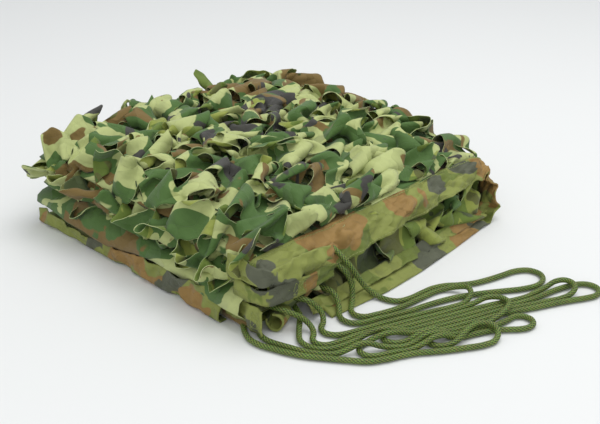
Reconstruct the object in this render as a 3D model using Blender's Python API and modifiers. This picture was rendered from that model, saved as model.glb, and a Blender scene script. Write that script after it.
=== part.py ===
"""A camouflage net, folded into a square pack, with its tie cords lying beside it.

The garnish is woodland cloth with rows of slits that open into ruffled leaves. It
is folded back and forth along Y and wrapped once in its own outer layer, so that
its floor layer turns up at the back and comes over the top. Binding tape is sewn
to its right edge and to its front end, and corner tabs hold the tie cords.
Metres, +Z up. The origin is on the floor under the middle of the pack.
"""

import math
from collections import namedtuple

import bmesh
import bpy
import numpy as np
from mathutils import Vector

MM = 0.001

# Sizes of the pack.
CLOTH_LEFT = -0.168
CLOTH_RIGHT = 0.142
CLOTH_THICKNESS = 0.0012
FLOOR_LAYER_MIDDLE = CLOTH_THICKNESS / 2
SEAM_GAP = 0.0005
TAPE_WIDTH = 0.028
TAPE_THICKNESS = 0.002
CORD_DIAMETER = 0.005

# The slits of the garnish: rows across the cloth, staggered from row to row.
FINE_COLUMNS = 24
COARSE_COLUMNS = 12
FINE_ROW = 0.010
ROWS_PER_RIBBON = 3
SLIT_COLUMNS = 4
SLIT_PERIOD = 6
SLIT_STAGGER = 3
SLIT_OPENING = 0.0055
SLIT_WAVE = 0.0035
LEAF_LIFT = 0.0095
LEAF_DIP = -0.0032
# How strongly the leaves stand out away from the top, as a share of the lift there.
LEAF_SHARE_AT_BACK = 0.35
LEAF_SHARE_AT_FRONT_FOLD = 0.45
PLAIN_RIGHT_MARGIN = (0.02, 0.14)
DOME_HEIGHT = 0.004
LEFT_EDGE_WAVE = 0.0022

# The folded layers aren't level: one gentle warp moves them all, so that they stay
# clear of each other. It leaves the taped edges and the floor layer alone.
FRONT_WARP = 0.0032
LEVEL_WARP = 0.0026
# Away from the taped edge the pack swells: upwards by a share of the height, and out
# at its front and back.
RISE_SHARE = 0.30
FRONT_SWELL = 0.0055
BACK_SWELL = 0.0065

# One row for each layer of cloth, in the order in which the cloth runs, in
# millimetres. bulge is how far the fold after the layer stands out; a fold at the
# back follows a layer that runs to the back.
Layer = namedtuple("Layer", "name runs_to front_y front_z back_y back_z bulge")
LAYERS = (
    Layer("floor", "back", -150, 0.6, 150, 0.6, 16),
    Layer("top", "front", -156, 66, 150, 70, 9),
    Layer("under_top", "back", -156, 50.5, 138, 56, 6),
    Layer("upper_middle", "front", -155, 45, 138, 41, 8),
    Layer("middle", "back", -155, 29, 140, 36, 5),
    Layer("lower_middle", "front", -154, 25, 140, 24, 8),
    Layer("low", "back", -154, 12.5, 141, 20, 5),
    Layer("lower", "front", -153, 8.5, 141, 9, 3),
    Layer("lowest", "back", -152, 4.5, 135, 4.8, 0),
)
FOLD_STEPS = 4
LAYER_STEPS = 4
FINE_PAST_FOLD = 0.012
SAME_ROW = 1e-5

# How steeply the right-hand tape hangs inwards at its outer edge. past is counted
# in millimetres from the start of the layer, or from its end where from_end is set.
Slope = namedtuple("Slope", "layer from_end past degrees")
TAPE_SLOPES = (
    Slope("floor", False, 50, 16),
    Slope("floor", True, 0, 20),
    Slope("floor", True, 42, 30),
    Slope("top", False, 20, 62),
    Slope("top", False, 80, 72),
    Slope("top", True, 0, 72),
)
TAPE_WRINKLE = 4
TAPE_START = 0.050
TAPE_PAST_TOP = 0.010
TAPE_STEPS = 4

# The end tape: a flat margin beside the seam, then a part that turns up.
END_TAPE_FLAT = 0.004
END_TAPE_TURNED = 0.020
END_TAPE_SLOPE = math.radians(76)
END_TAPE_LEFT = CLOTH_LEFT + 0.002
END_TAPE_RIGHT = 0.112

# Corner tabs: a strip of doubled tape that follows a route of (x, y, z) points of
# its middle line, in millimetres, upright and a little bowed across its width.
Tab = namedtuple("Tab", "name width bow route")
CORNER_TABS = (
    Tab("corner_tab_upper", 0.017, 0.0008, (
        (124, -166.9, 58), (146, -167.1, 57.5), (158, -166.2, 57), (164.6, -161, 56.5),
        (167.2, -152, 56), (167.4, -128, 55.5), (167.2, -104, 55), (167, -84, 54.5))),
    Tab("corner_tab_middle", 0.016, 0.0008, (
        (130, -165.1, 37.5), (148, -165.6, 37.5), (158, -164.2, 37.5), (164, -159, 37.5),
        (166, -150, 37), (166.2, -128, 36), (166, -104, 35.4), (165.6, -81, 35))),
    Tab("corner_tab_lower", 0.018, 0.0010, (
        (116, -164.2, 18.5), (130, -164.5, 18.2), (144, -165.4, 17.6), (154, -167, 16.8),
        (164, -167.4, 16.2))),
)
# The last corner is rolled into a short open tube that lies on the floor.
ROLL_MOUTH = (0.1600, -0.1490, 0.0089)
ROLL_AXIS = (0.451, -0.892, 0.0)
ROLL_LENGTH = 0.022
ROLL_RADIUS = 0.0076
ROLL_START = math.radians(75)
ROLL_TURN = math.radians(300)
ROLL_STEPS = 14
ROLL_TAPER = 0.06

# The tie cords lie in a loose bundle on the floor. Their routes are given in the
# bundle's own directions, in millimetres: along it, across it, and up.
BUNDLE_ORIGIN = Vector((0.190, -0.150, 0.0))
BUNDLE_ALONG = Vector((0.35, 0.937, 0.0)).normalized()
BUNDLE_ACROSS = Vector((BUNDLE_ALONG.y, -BUNDLE_ALONG.x, 0.0))
BEND_POINT_GAP = 0.0075
STRAIGHT_POINT_GAP = 0.024
TIE_CORDS = (
    ("tie_cord_1", (
        (48.5, -67, 55.3), (57, -60, 52.5), (62, -53.4, 47.5), (66.4, -47.4, 41.5),
        (72, -44.5, 33), (79.4, -44.6, 21), (88.3, -43.7, 9), (95.5, -38.9, 3.2),
        (100.5, -30.8, 2.7), (108, -25, 2.7), (120, -25, 2.7), (134, -28.7, 2.7),
        (147, -31.7, 2.7), (160, -31, 2.7), (172, -27, 2.7), (186, -24, 2.7),
        (202, -24, 2.7), (218, -25.5, 2.7), (234, -27, 2.7), (246, -23, 2.7),
        (251, -13, 2.7), (247, -3, 2.7), (236, 3.5, 2.7), (220, 3.5, 2.7),
        (204, 0, 2.7), (188, -4, 2.7), (172, -7, 2.7), (156, -9, 2.7),
        (140, -9, 2.7), (124, -8, 2.7), (108, -6, 2.7), (92, -6, 2.7),
        (77, -6.5, 2.7), (64, -6.5, 2.7), (54.1, -9.5, 2.7), (49.1, -17.3, 2.7),
        (50, -26.2, 3.2), (53, -32.6, 6.5), (53.4, -37.4, 12), (51.2, -42.6, 17),
        (46, -50, 18), (37, -62, 17.6))),
    ("tie_cord_2", (
        (56, -68, 34.4), (62, -59.5, 33.5), (66, -53.5, 31), (69.6, -48.5, 26),
        (71.6, -45, 18.5), (70.8, -41.4, 10), (67, -35.5, 4), (62.6, -28, 2.7),
        (62.4, -20.2, 2.7), (68.2, -14.4, 2.7), (80, -13.2, 2.7), (94, -13.5, 2.7),
        (107, -15.5, 2.7), (120, -19, 2.7), (134, -22.8, 2.7), (146, -25.8, 2.7),
        (156, -25.6, 3), (165.6, -20.6, 5.4), (170.6, -11.4, 8.4), (167.2, -1.6, 7.4),
        (157.6, 3.2, 3.6), (144, 3.6, 2.7), (129, 3, 2.7), (114, 2.5, 2.7),
        (100, 2, 2.7), (84, 2, 2.7), (68, 2.5, 2.7), (54, 3, 2.7),
        (42, 3.2, 2.7), (32.4, 1.2, 2.7), (26.2, -5.2, 2.7), (26.6, -13.8, 2.7),
        (32, -20.4, 3.4), (33.8, -26.6, 8), (30, -30.6, 14.5), (22.9, -33.5, 20),
        (14.5, -41.5, 20.5), (4.5, -50, 18))),
    ("tie_cord_3", (
        (-12, -40, 20.6), (-3.5, -28.6, 20.5), (6.1, -23.6, 16), (14.2, -20.8, 10.5),
        (18.4, -15, 5), (16.8, -7.6, 3), (12.6, -1.2, 2.7), (12.4, 5.6, 2.7),
        (17.2, 11, 2.7), (25.5, 12.4, 2.7), (36, 11, 2.7), (47, 9.2, 2.7),
        (58, 8.6, 2.7), (72, 8.5, 2.7), (88, 8.6, 2.7), (104, 8.8, 2.7),
        (120, 9.3, 2.7), (136, 9.3, 2.7), (152, 9.2, 3), (164, 8.8, 4.6),
        (176, 10, 7.9), (186, 15.6, 8.4), (188, 25, 8.4), (181, 32.6, 8.4),
        (171, 36.8, 6.4), (158, 38.4, 3), (142, 38, 2.7), (128, 37.4, 2.7),
        (117, 37, 3.6), (107, 36, 7.8), (98, 35.4, 8.4), (90, 35.4, 6.4),
        (82, 35, 3.6), (75, 34, 2.7), (68.2, 31, 2.7), (65.2, 24.4, 2.7),
        (68.2, 17.6, 2.7), (75.6, 14.6, 2.7), (86, 14.2, 2.7), (98, 14.4, 2.7),
        (112, 14.8, 2.7), (128, 15.2, 2.7), (144, 15.2, 2.7), (160, 15, 2.7),
        (176, 15.2, 2.7), (190, 16, 2.7), (202, 17, 2.7), (214, 16.6, 2.7),
        (226, 13.6, 2.7), (238, 11.4, 3.6), (249, 11.4, 7.4), (256.8, 14.6, 8.5),
        (259.8, 21.8, 8.5), (256.8, 29, 7.4), (249.5, 32, 4.4), (239, 31.8, 2.7),
        (225, 30.6, 2.7), (210, 29.6, 2.7), (196, 28, 2.7), (182, 26.6, 2.7),
        (166, 26.4, 2.7), (150, 26.6, 2.7), (134, 26.4, 2.7), (118, 26, 2.7),
        (102, 25.9, 2.7), (90, 25.8, 3), (79, 25.6, 6.8), (67, 25, 8.5),
        (58, 23.2, 6), (49.4, 22.7, 2.9), (41.8, 25.8, 2.7), (38.7, 33, 2.7),
        (41.8, 40.2, 2.7), (50, 43.4, 2.7), (64, 44.6, 2.7), (77, 46.8, 2.7),
        (88, 47.4, 5.6), (98, 47.4, 9.2), (108, 47.6, 8.6), (118, 48.2, 3.6),
        (130, 48.6, 2.7), (144, 49.2, 2.7), (157, 51.2, 2.7), (168, 55.4, 2.7),
        (176.4, 58.6, 2.7), (184.4, 59.4, 2.7), (191.2, 56.4, 2.7), (194, 49.6, 2.7),
        (191.2, 42.8, 2.7), (184.4, 40, 2.8), (174, 42.4, 2.7), (163, 44.4, 2.7),
        (150, 43.8, 2.7), (134, 43, 2.7), (120, 42.8, 3.2), (107, 41.8, 8.2),
        (95, 41.3, 9), (85, 41, 5), (76, 40.6, 2.8), (65, 37.4, 2.9),
        (56, 34, 4.6), (48, 31.4, 7.8), (39, 29.6, 8.5), (30, 28.6, 5.6),
        (20, 27, 3), (9, 21.4, 2.7), (-1.6, 12.8, 2.7), (-9, 3.2, 2.7),
        (-15.4, -5, 2.7), (-21, -13.5, 2.7), (-23.6, -24, 2.7), (-22, -34, 2.7),
        (-20.5, -41, 2.7))),
    ("tie_cord_4", (
        (18, -54.6, 8), (17.6, -45, 8), (16.8, -35.1, 7), (12.1, -24.8, 6),
        (6.5, -14.2, 4), (2.6, -4, 2.8), (3.8, 5.4, 2.7), (10.2, 14, 2.7),
        (21, 18.4, 2.7), (33, 17.6, 2.7), (45, 15.4, 3), (54, 15.4, 6),
        (62, 16.8, 8.5), (71, 18.8, 8.5), (81, 20.2, 5.4), (91, 20.4, 2.8),
        (104, 20.4, 2.7), (120, 20.6, 2.7), (138, 20.9, 2.7), (156, 20.7, 2.7),
        (172, 20.8, 2.7), (186, 21.4, 2.7), (200, 22.8, 2.7), (214, 22.8, 2.7),
        (228, 20.6, 2.7), (241, 18.2, 2.7), (252, 17, 2.7), (262, 16.8, 2.7),
        (270.6, 17.8, 2.7), (278, 22, 2.7), (281, 29.4, 2.7), (278, 36.8, 2.7),
        (270.4, 40.8, 2.7), (260, 40.6, 2.7), (250, 39, 2.7), (239, 37.5, 2.7),
        (226, 36.2, 2.7), (212, 35.2, 2.7), (198, 33.6, 2.7), (184, 32.2, 2.7),
        (168, 32, 2.7), (152, 32.2, 2.7), (136, 32, 2.7), (124, 31.8, 2.7),
        (114, 31.5, 2.7), (106, 31.6, 2.7), (98.8, 35, 2.7), (95.6, 42.4, 2.7),
        (98.8, 50, 2.7), (106, 53.8, 2.8), (115.6, 54.4, 4.8), (125, 51, 8.4),
        (134, 46.2, 8.6), (144.4, 43.8, 8.5), (153, 48.8, 8.5), (154, 57.6, 6.4),
        (147, 64.4, 3), (135, 66, 2.7), (120, 63.6, 2.7), (106, 60.6, 2.7),
        (92, 57, 2.7), (79, 53, 2.7), (66, 51.2, 2.7), (52, 50.2, 2.7),
        (38, 47.2, 2.7), (24, 38.6, 2.7), (8, 27.6, 2.7), (-4.6, 18.2, 2.7),
        (-14.4, 8.4, 2.7), (-22.6, -1.6, 2.7), (-30, -11.4, 2.7), (-34, -22, 2.7),
        (-33.6, -34, 2.7), (-31, -44, 2.7), (-29.6, -51, 2.7))),
)

COLOURS = {
    "garnish": (0.16, 0.28, 0.09, 1.0),
    "binding": (0.20, 0.27, 0.07, 1.0),
    "tab": (0.22, 0.30, 0.07, 1.0),
    "cord": (0.13, 0.22, 0.05, 1.0),
}
CLOTH_ROUGHNESS = 0.8
CORD_ROUGHNESS = 0.7


def clear_scene():
    """Remove the objects of the file that Blender starts with."""
    for old in list(bpy.data.objects):
        bpy.data.objects.remove(old, do_unlink=True)


def make_material(name, roughness):
    """Return a plain Principled material in one of the named colours."""
    material = bpy.data.materials.new(name)
    material.use_nodes = True
    shader = material.node_tree.nodes["Principled BSDF"]
    shader.inputs["Base Color"].default_value = COLOURS[name]
    shader.inputs["Roughness"].default_value = roughness
    return material


def add_object(name, data, collection, material):
    """Link an object that carries the data and the material."""
    data.materials.append(material)
    part = bpy.data.objects.new(name, data)
    collection.objects.link(part)
    return part


def thicken(part, thickness):
    """Give an open sheet its thickness, half to each side."""
    solid = part.modifiers.new("thickness", "SOLIDIFY")
    solid.thickness = thickness
    solid.offset = 0.0


def smooth_route(points, steps):
    """Return a fine curve through the points: a Catmull-Rom spline whose spans are
    weighted by the square root of their length, so that it doesn't loop."""
    points = np.asarray(points, float)
    padded = np.vstack([2 * points[0] - points[1], points, 2 * points[-1] - points[-2]])
    t = (np.arange(steps) / steps)[:, None]
    spans = []
    for before, start, end, after in zip(padded, padded[1:], padded[2:], padded[3:]):
        gap_before = math.sqrt(np.linalg.norm(start - before))
        gap = math.sqrt(np.linalg.norm(end - start))
        gap_after = math.sqrt(np.linalg.norm(after - end))
        leave = (start - before) / gap_before - (end - before) / (gap_before + gap)
        leave = (leave + (end - start) / gap) * gap
        arrive = (end - start) / gap - (after - start) / (gap + gap_after)
        arrive = (arrive + (after - end) / gap_after) * gap
        spans.append(
            (2 * t**3 - 3 * t**2 + 1) * start + (t**3 - 2 * t**2 + t) * leave
            + (3 * t**2 - 2 * t**3) * end + (t**3 - t**2) * arrive
        )
    return np.vstack(spans + [points[-1:]])


def arc_lengths(line):
    """Return the distance from the start of a line to each of its points."""
    return np.concatenate([[0.0], np.cumsum(np.linalg.norm(np.diff(line, axis=0), axis=1))])


class ClothLine:
    """The garnish's line in the Y-Z plane, from the front end of its floor layer to
    the hidden end inside, with the distances at which each layer starts and ends."""

    def __init__(self):
        line = []
        self.starts = {}
        self.ends = {}
        counts = []
        for index, layer in enumerate(LAYERS):
            front = np.array([layer.front_y, layer.front_z]) * MM
            back = np.array([layer.back_y, layer.back_z]) * MM
            start, end = (front, back) if layer.runs_to == "back" else (back, front)
            run = start + (end - start) * np.linspace(0, 1, 61)[:, None]
            counts.append((layer.name, len(line), len(line) + len(run) - 1))
            line.extend(run)
            if index + 1 < len(LAYERS):
                line.extend(self.fold(end, LAYERS[index + 1], layer))
        self.line = np.array(line)
        self.along = arc_lengths(self.line)
        for name, first, last in counts:
            self.starts[name] = self.along[first]
            self.ends[name] = self.along[last]
        self.length = self.along[-1]

    @staticmethod
    def fold(start, following, layer):
        """Two quarter ellipses with a straight run between, bulging out of the pack."""
        if layer.runs_to == "back":
            end = np.array([following.back_y, following.back_z]) * MM
            side = 1.0
        else:
            end = np.array([following.front_y, following.front_z]) * MM
            side = -1.0
        rise = end[1] - start[1]
        corner = math.copysign(min(abs(rise) / 2, layer.bulge * MM), rise)
        turn = np.linspace(0, math.pi / 2, 9)
        out = side * layer.bulge * MM
        first = np.stack([start[0] + out * np.sin(turn),
                          start[1] + corner * (1 - np.cos(turn))], 1)
        last = np.stack([end[0] + out * np.cos(turn),
                         end[1] - corner * (1 - np.sin(turn))], 1)
        return list(first[1:]) + list(last[:-1])

    def at(self, distance):
        """Return the (y, z) point and the outward normal at a distance."""
        point = self._point(distance)
        step = 0.0015
        ahead = self._point(min(distance + step, self.length))
        behind = self._point(max(distance - step, 0.0))
        direction = (ahead - behind) / np.linalg.norm(ahead - behind)
        return point, np.array([direction[1], -direction[0]])

    def _point(self, distance):
        return np.array([np.interp(distance, self.along, self.line[:, k]) for k in (0, 1)])


def coarse_rows(cloth, names, first=None, last=None):
    """Return the distances of the rows on plain layers and on the folds between."""
    rows = []
    for index, name in enumerate(names):
        start = cloth.starts[name] if first is None or index else first
        end = cloth.ends[name]
        rows.extend(np.linspace(start, end, LAYER_STEPS + 1))
        if index + 1 < len(names):
            fold_end = cloth.starts[names[index + 1]]
            rows.extend(np.linspace(end, fold_end, FOLD_STEPS + 1)[1:-1])
    return [row for row in rows if last is None or row <= last]


def add_flat_grid(mesh, columns, rows):
    """Add a grid to a bmesh laid out flat: X across the cloth, Y along it."""
    made = bmesh.ops.create_grid(mesh, x_segments=columns, y_segments=len(rows) - 1, size=1.0)
    grid = made["verts"]
    for vert in grid:
        column = round((vert.co.x + 1) / 2 * columns)
        row = round((vert.co.y + 1) / 2 * (len(rows) - 1))
        vert.co = (column / columns, rows[row], 0.0)
    return grid


def row_edges(mesh, distance):
    """Return the edges that lie along the row at a distance."""
    return [
        edge for edge in mesh.edges
        if all(abs(vert.co.y - distance) < SAME_ROW for vert in edge.verts)
    ]


def slit_table(rows):
    """List each slit: its row number, the column where it starts, and its strength."""
    slits = []
    ribbons = range(1, (len(rows) - 1) // ROWS_PER_RIBBON)
    for ribbon in ribbons:
        first = 1 + (ribbon * SLIT_STAGGER) % SLIT_PERIOD
        for number, start in enumerate(range(first - SLIT_PERIOD, FINE_COLUMNS, SLIT_PERIOD)):
            begin = max(start, 0)
            end = min(start + SLIT_COLUMNS, FINE_COLUMNS - 2)
            if end - begin >= 3:
                strength = 0.86 + 0.34 * math.sin(5.1 * ribbon + 2.3 * number)
                slits.append((ribbon * ROWS_PER_RIBBON, begin, end, strength))
    return slits


def cut_slits(mesh, rows, slits):
    """Split the edges along each slit of the flat grid."""
    cuts = []
    for row, begin, end, _strength in slits:
        for edge in row_edges(mesh, rows[row]):
            middle = (edge.verts[0].co.x + edge.verts[1].co.x) / 2 * FINE_COLUMNS
            if begin < middle < end:
                cuts.append(edge)
    bmesh.ops.split_edges(mesh, edges=cuts)


def leaf_offsets(column, row, side, slits):
    """Return how far a point of the slit cloth lifts off its line and how far it
    moves along the cloth: each slit raises its front lip and lowers its back lip."""
    lift = 0.0
    shift = 0.0
    for slit_row, begin, end, strength in slits:
        apart = row - slit_row
        if abs(apart) >= ROWS_PER_RIBBON or not begin < column < end:
            continue
        across = math.sin(math.pi * (column - begin) / (end - begin))
        near = 1 - abs(apart) / ROWS_PER_RIBBON
        lip = side if apart == 0 else math.copysign(1, apart)
        height = LEAF_LIFT if lip > 0 else LEAF_DIP
        lift += height * strength * across * near
        shift += SLIT_OPENING * lip * across * near
    return lift, shift


def fade(value, start, end):
    """Rise smoothly from 0 at start to 1 at end."""
    t = min(max((value - start) / (end - start), 0.0), 1.0)
    return t * t * (3 - 2 * t)


def warp(spot):
    """Move a point of the folded cloth by the pack's gentle unevenness: the front
    folds in and out, and the layers up and down in proportion to their height. It
    swells away from the taped edge."""
    clear_of_tape = fade(CLOTH_RIGHT - spot.x, 0.020, 0.075)
    swell = fade(CLOTH_RIGHT - spot.x, 0.0, 0.085)
    raised = fade(spot.z, 0.012, 0.022)
    near_front = fade(-spot.y, 0.09, 0.15)
    near_back = fade(spot.y, 0.09, 0.15)
    in_out = math.sin(spot.x * 31 + spot.z * 88 + 0.6)
    level = math.sin(spot.x * 24 + 1.1) * math.sin(spot.y * 22 + 0.4)
    return Vector((
        spot.x,
        spot.y + clear_of_tape * raised * (
            (FRONT_WARP * in_out - FRONT_SWELL) * near_front + BACK_SWELL * near_back),
        spot.z + raised * spot.z * (
            RISE_SHARE * swell + LEVEL_WARP / 0.066 * level * clear_of_tape),
    ))


def make_garnish(cloth, collection, material):
    """The slit cloth: one sheet folded back and forth inside its own outer layer."""
    fine_start = cloth.ends["floor"]
    fine_end = cloth.starts["under_top"] + FINE_PAST_FOLD
    count = round((fine_end - fine_start) / FINE_ROW)
    fine = list(np.linspace(fine_start + FINE_ROW, fine_end, count))
    before = coarse_rows(cloth, ["floor"])
    names = [layer.name for layer in LAYERS[2:]]
    after = coarse_rows(cloth, names, first=fine_end + 2 * FINE_ROW)

    mesh = bmesh.new()
    add_flat_grid(mesh, COARSE_COLUMNS, before)
    add_flat_grid(mesh, FINE_COLUMNS, fine)
    add_flat_grid(mesh, COARSE_COLUMNS, after)
    for near, far in ((before[-1], fine[0]), (fine[-1], after[0])):
        bmesh.ops.bridge_loops(mesh, edges=row_edges(mesh, near) + row_edges(mesh, far))
    slits = slit_table(fine)
    cut_slits(mesh, fine, slits)
    mesh.faces.ensure_lookup_table()

    top_start = cloth.starts["top"]
    top_end = cloth.ends["top"]
    places = {}
    for vert in mesh.verts:
        across, distance = vert.co.x, vert.co.y
        lift = 0.0
        row = int(np.argmin(np.abs(np.array(fine) - distance)))
        in_slit_cloth = abs(fine[row] - distance) < SAME_ROW
        place = distance
        if in_slit_cloth:
            faces = [face.calc_center_median().y for face in vert.link_faces]
            side = 1 if sum(faces) / len(faces) > distance else -1
            lift, shift = leaf_offsets(across * FINE_COLUMNS, row, side, slits)
            ends = fade(row, 0, ROWS_PER_RIBBON) * fade(len(fine) - 1 - row, 0, ROWS_PER_RIBBON)
            back = fade(distance, top_start - 0.02, top_start + 0.03)
            front = fade(top_end - distance, -0.01, 0.03)
            share = LEAF_SHARE_AT_BACK + (1 - LEAF_SHARE_AT_BACK) * back
            share *= LEAF_SHARE_AT_FRONT_FOLD + (1 - LEAF_SHARE_AT_FRONT_FOLD) * front
            share *= fade(1 - across, *PLAIN_RIGHT_MARGIN)
            along_top = min(max((distance - top_start) / (top_end - top_start), 0.0), 1.0)
            dome = DOME_HEIGHT * math.sin(math.pi * across) ** 0.5
            dome *= math.sin(math.pi * along_top) ** 0.6
            lift = lift * ends * share + dome
            wave = SLIT_WAVE * math.sin(2 * math.pi * (across * 3.4 + 0.21 * row))
            place = distance + (shift + wave) * ends
        point, normal = cloth.at(place)
        x = CLOTH_LEFT + (CLOTH_RIGHT - CLOTH_LEFT) * across
        x += LEFT_EDGE_WAVE * math.sin(distance * 61) * fade(1 - across, 0.9, 1.0)
        spot = Vector((x, point[0] + normal[0] * lift, point[1] + normal[1] * lift))
        places[vert] = warp(spot)
    for vert, spot in places.items():
        vert.co = spot
    bmesh.ops.recalc_face_normals(mesh, faces=mesh.faces)
    data = bpy.data.meshes.new("garnish")
    mesh.to_mesh(data)
    mesh.free()
    garnish = add_object("garnish", data, collection, material)
    thicken(garnish, CLOTH_THICKNESS)


def sheet_from_grid(name, points, collection, material, thickness):
    """Make an open sheet whose grid of points is an array of rows and columns, and
    thicken it."""
    rows, columns = points.shape[:2]
    mesh = bmesh.new()
    made = bmesh.ops.create_grid(
        mesh, x_segments=columns - 1, y_segments=rows - 1, size=1.0)
    for vert in made["verts"]:
        column = round((vert.co.x + 1) / 2 * (columns - 1))
        row = round((vert.co.y + 1) / 2 * (rows - 1))
        vert.co = points[row, column]
    data = bpy.data.meshes.new(name)
    mesh.to_mesh(data)
    mesh.free()
    part = add_object(name, data, collection, material)
    thicken(part, thickness)
    return part


def hanging_profile(slope, steps):
    """Return the outward and inward reach of a tape that bends evenly from level to
    a slope at its outer edge."""
    turn = np.linspace(0, slope, steps + 1)
    middle = (turn[1:] + turn[:-1]) / 2
    run = TAPE_WIDTH / steps
    out = np.concatenate([[0.0], np.cumsum(np.cos(middle) * run)])
    drop = np.concatenate([[0.0], np.cumsum(np.sin(middle) * run)])
    return out, drop


def make_side_binding(cloth, collection, material):
    """The tape on the cloth's right edge, along the floor, up the back and over the
    top, hanging in over the pack's side."""
    start = cloth.starts["floor"] + TAPE_START
    end = cloth.ends["top"] + TAPE_PAST_TOP
    places = [
        (cloth.ends if stop.from_end else cloth.starts)[stop.layer] + stop.past * MM
        for stop in TAPE_SLOPES
    ]
    slopes = [stop.degrees for stop in TAPE_SLOPES]
    rows = np.concatenate([
        np.linspace(start, cloth.ends["floor"], 13)[:-1],
        np.linspace(cloth.ends["floor"], cloth.starts["top"], 11)[:-1],
        np.linspace(cloth.starts["top"], end, 16),
    ])
    sunk = (TAPE_THICKNESS - CLOTH_THICKNESS) / 2
    grid = []
    for distance in rows:
        slope = np.interp(distance, places, slopes)
        wrinkle = math.sin(distance * 95) + 0.6 * math.sin(distance * 41 + 1)
        wrinkle *= fade(cloth.ends["top"] - 0.10 - distance, 0.0, 0.05)
        wrinkle *= fade(distance, start + 0.01, start + 0.05)
        out, drop = hanging_profile(math.radians(slope + TAPE_WRINKLE * wrinkle), TAPE_STEPS)
        point, normal = cloth.at(distance)
        grid.append([
            (CLOTH_RIGHT + SEAM_GAP + reach,
             point[0] - normal[0] * (sunk + fall),
             point[1] - normal[1] * (sunk + fall))
            for reach, fall in zip(out, drop)
        ])
    sheet_from_grid("side_binding", np.array(grid), collection, material, TAPE_THICKNESS)


def make_end_binding(collection, material):
    """The tape on the floor layer's front end, turned up along its outer edge."""
    front = LAYERS[0].front_y * MM - SEAM_GAP
    rows = []
    for x in np.linspace(END_TAPE_LEFT, END_TAPE_RIGHT, 23):
        uneven = 1 + 0.044 * math.sin(x * 70) + 0.024 * math.sin(x * 163 + 2)
        turn = np.linspace(0, END_TAPE_SLOPE * uneven, TAPE_STEPS + 1)
        middle = (turn[1:] + turn[:-1]) / 2
        run = END_TAPE_TURNED / TAPE_STEPS
        out = np.concatenate([[0.0, END_TAPE_FLAT], END_TAPE_FLAT + np.cumsum(np.cos(middle) * run)])
        rise = np.concatenate([[0.0, 0.0], np.cumsum(np.sin(middle) * run)])
        rows.append([
            (x, front - reach, TAPE_THICKNESS / 2 + up) for reach, up in zip(out, rise)
        ])
    sheet_from_grid("end_binding", np.array(rows), collection, material, TAPE_THICKNESS)


def make_corner_tab(tab, collection, material):
    """A strip of doubled tape, upright along its route and bowed across its width."""
    middle_line = smooth_route(np.array(tab.route) * MM, 2)
    ahead = np.gradient(middle_line, axis=0)
    level = np.stack([ahead[:, 1], -ahead[:, 0]], 1)
    level /= np.linalg.norm(level, axis=1)[:, None]
    rows = []
    for point, outward in zip(middle_line, level):
        row = []
        for up in np.linspace(-0.5, 0.5, 4):
            bow = tab.bow * (1 - (2 * up) ** 2) - tab.bow
            row.append((
                point[0] + outward[0] * bow,
                point[1] + outward[1] * bow,
                point[2] + up * tab.width,
            ))
        rows.append(row)
    sheet_from_grid(tab.name, np.array(rows), collection, material, TAPE_THICKNESS)


def make_corner_roll(collection, material):
    """The fourth corner, curled into an open tube with a gap along its length."""
    axis = Vector(ROLL_AXIS).normalized()
    level = axis.cross(Vector((0, 0, 1)))
    mouth = Vector(ROLL_MOUTH)
    rows = []
    for share in (0.0, 0.5, 1.0):
        centre = mouth - axis * (ROLL_LENGTH * share)
        row = []
        for step in range(ROLL_STEPS + 1):
            angle = ROLL_START + ROLL_TURN * step / ROLL_STEPS
            radius = ROLL_RADIUS * (1 - ROLL_TAPER * step / ROLL_STEPS)
            spoke = level * math.cos(angle) + Vector((0, 0, 1)) * math.sin(angle)
            row.append(tuple(centre + spoke * radius))
        rows.append(row)
    sheet_from_grid("corner_roll", np.array(rows), collection, material, TAPE_THICKNESS)


def make_tie_cord(name, route, collection, material):
    """A braided cord: a round tube on a smooth curve through its route, with its
    points close in the bends and further apart where it runs straight."""
    points = [
        BUNDLE_ORIGIN + (BUNDLE_ALONG * along + BUNDLE_ACROSS * across) * MM
        + Vector((0, 0, up * MM))
        for along, across, up in route
    ]
    fine = smooth_route(points, 16)
    length = arc_lengths(fine)
    heading = np.gradient(fine, length, axis=0)
    bend = np.linalg.norm(np.gradient(heading, length, axis=0), axis=1)
    gap = np.clip(0.45 / np.maximum(bend, 1e-6), BEND_POINT_GAP, STRAIGHT_POINT_GAP)
    share = np.concatenate([[0.0], np.cumsum(np.diff(length) / ((gap[1:] + gap[:-1]) / 2))])
    wanted = np.linspace(0, share[-1], max(int(round(share[-1])), 4) + 1)
    at = np.interp(wanted, share, length)
    curve = bpy.data.curves.new(name, "CURVE")
    curve.dimensions = "3D"
    curve.bevel_depth = CORD_DIAMETER / 2
    curve.bevel_resolution = 2
    curve.use_fill_caps = True
    spline = curve.splines.new("POLY")
    spline.points.add(len(at) - 1)
    for point, distance in zip(spline.points, at):
        spot = [np.interp(distance, length, fine[:, k]) for k in range(3)]
        point.co = (*spot, 1.0)
    return add_object(name, curve, collection, material)


def main():
    clear_scene()
    collection = bpy.data.collections.new("camouflage_net")
    bpy.context.scene.collection.children.link(collection)
    cloth_material = make_material("garnish", CLOTH_ROUGHNESS)
    binding_material = make_material("binding", CLOTH_ROUGHNESS)
    tab_material = make_material("tab", CLOTH_ROUGHNESS)
    cord_material = make_material("cord", CORD_ROUGHNESS)

    cloth = ClothLine()
    make_garnish(cloth, collection, cloth_material)
    make_side_binding(cloth, collection, binding_material)
    make_end_binding(collection, binding_material)
    for tab in CORNER_TABS:
        make_corner_tab(tab, collection, tab_material)
    make_corner_roll(collection, tab_material)
    for name, route in TIE_CORDS:
        make_tie_cord(name, route, collection, cord_material)


main()
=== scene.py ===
"""Looks of the folded camouflage net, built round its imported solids."""

import math

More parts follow.
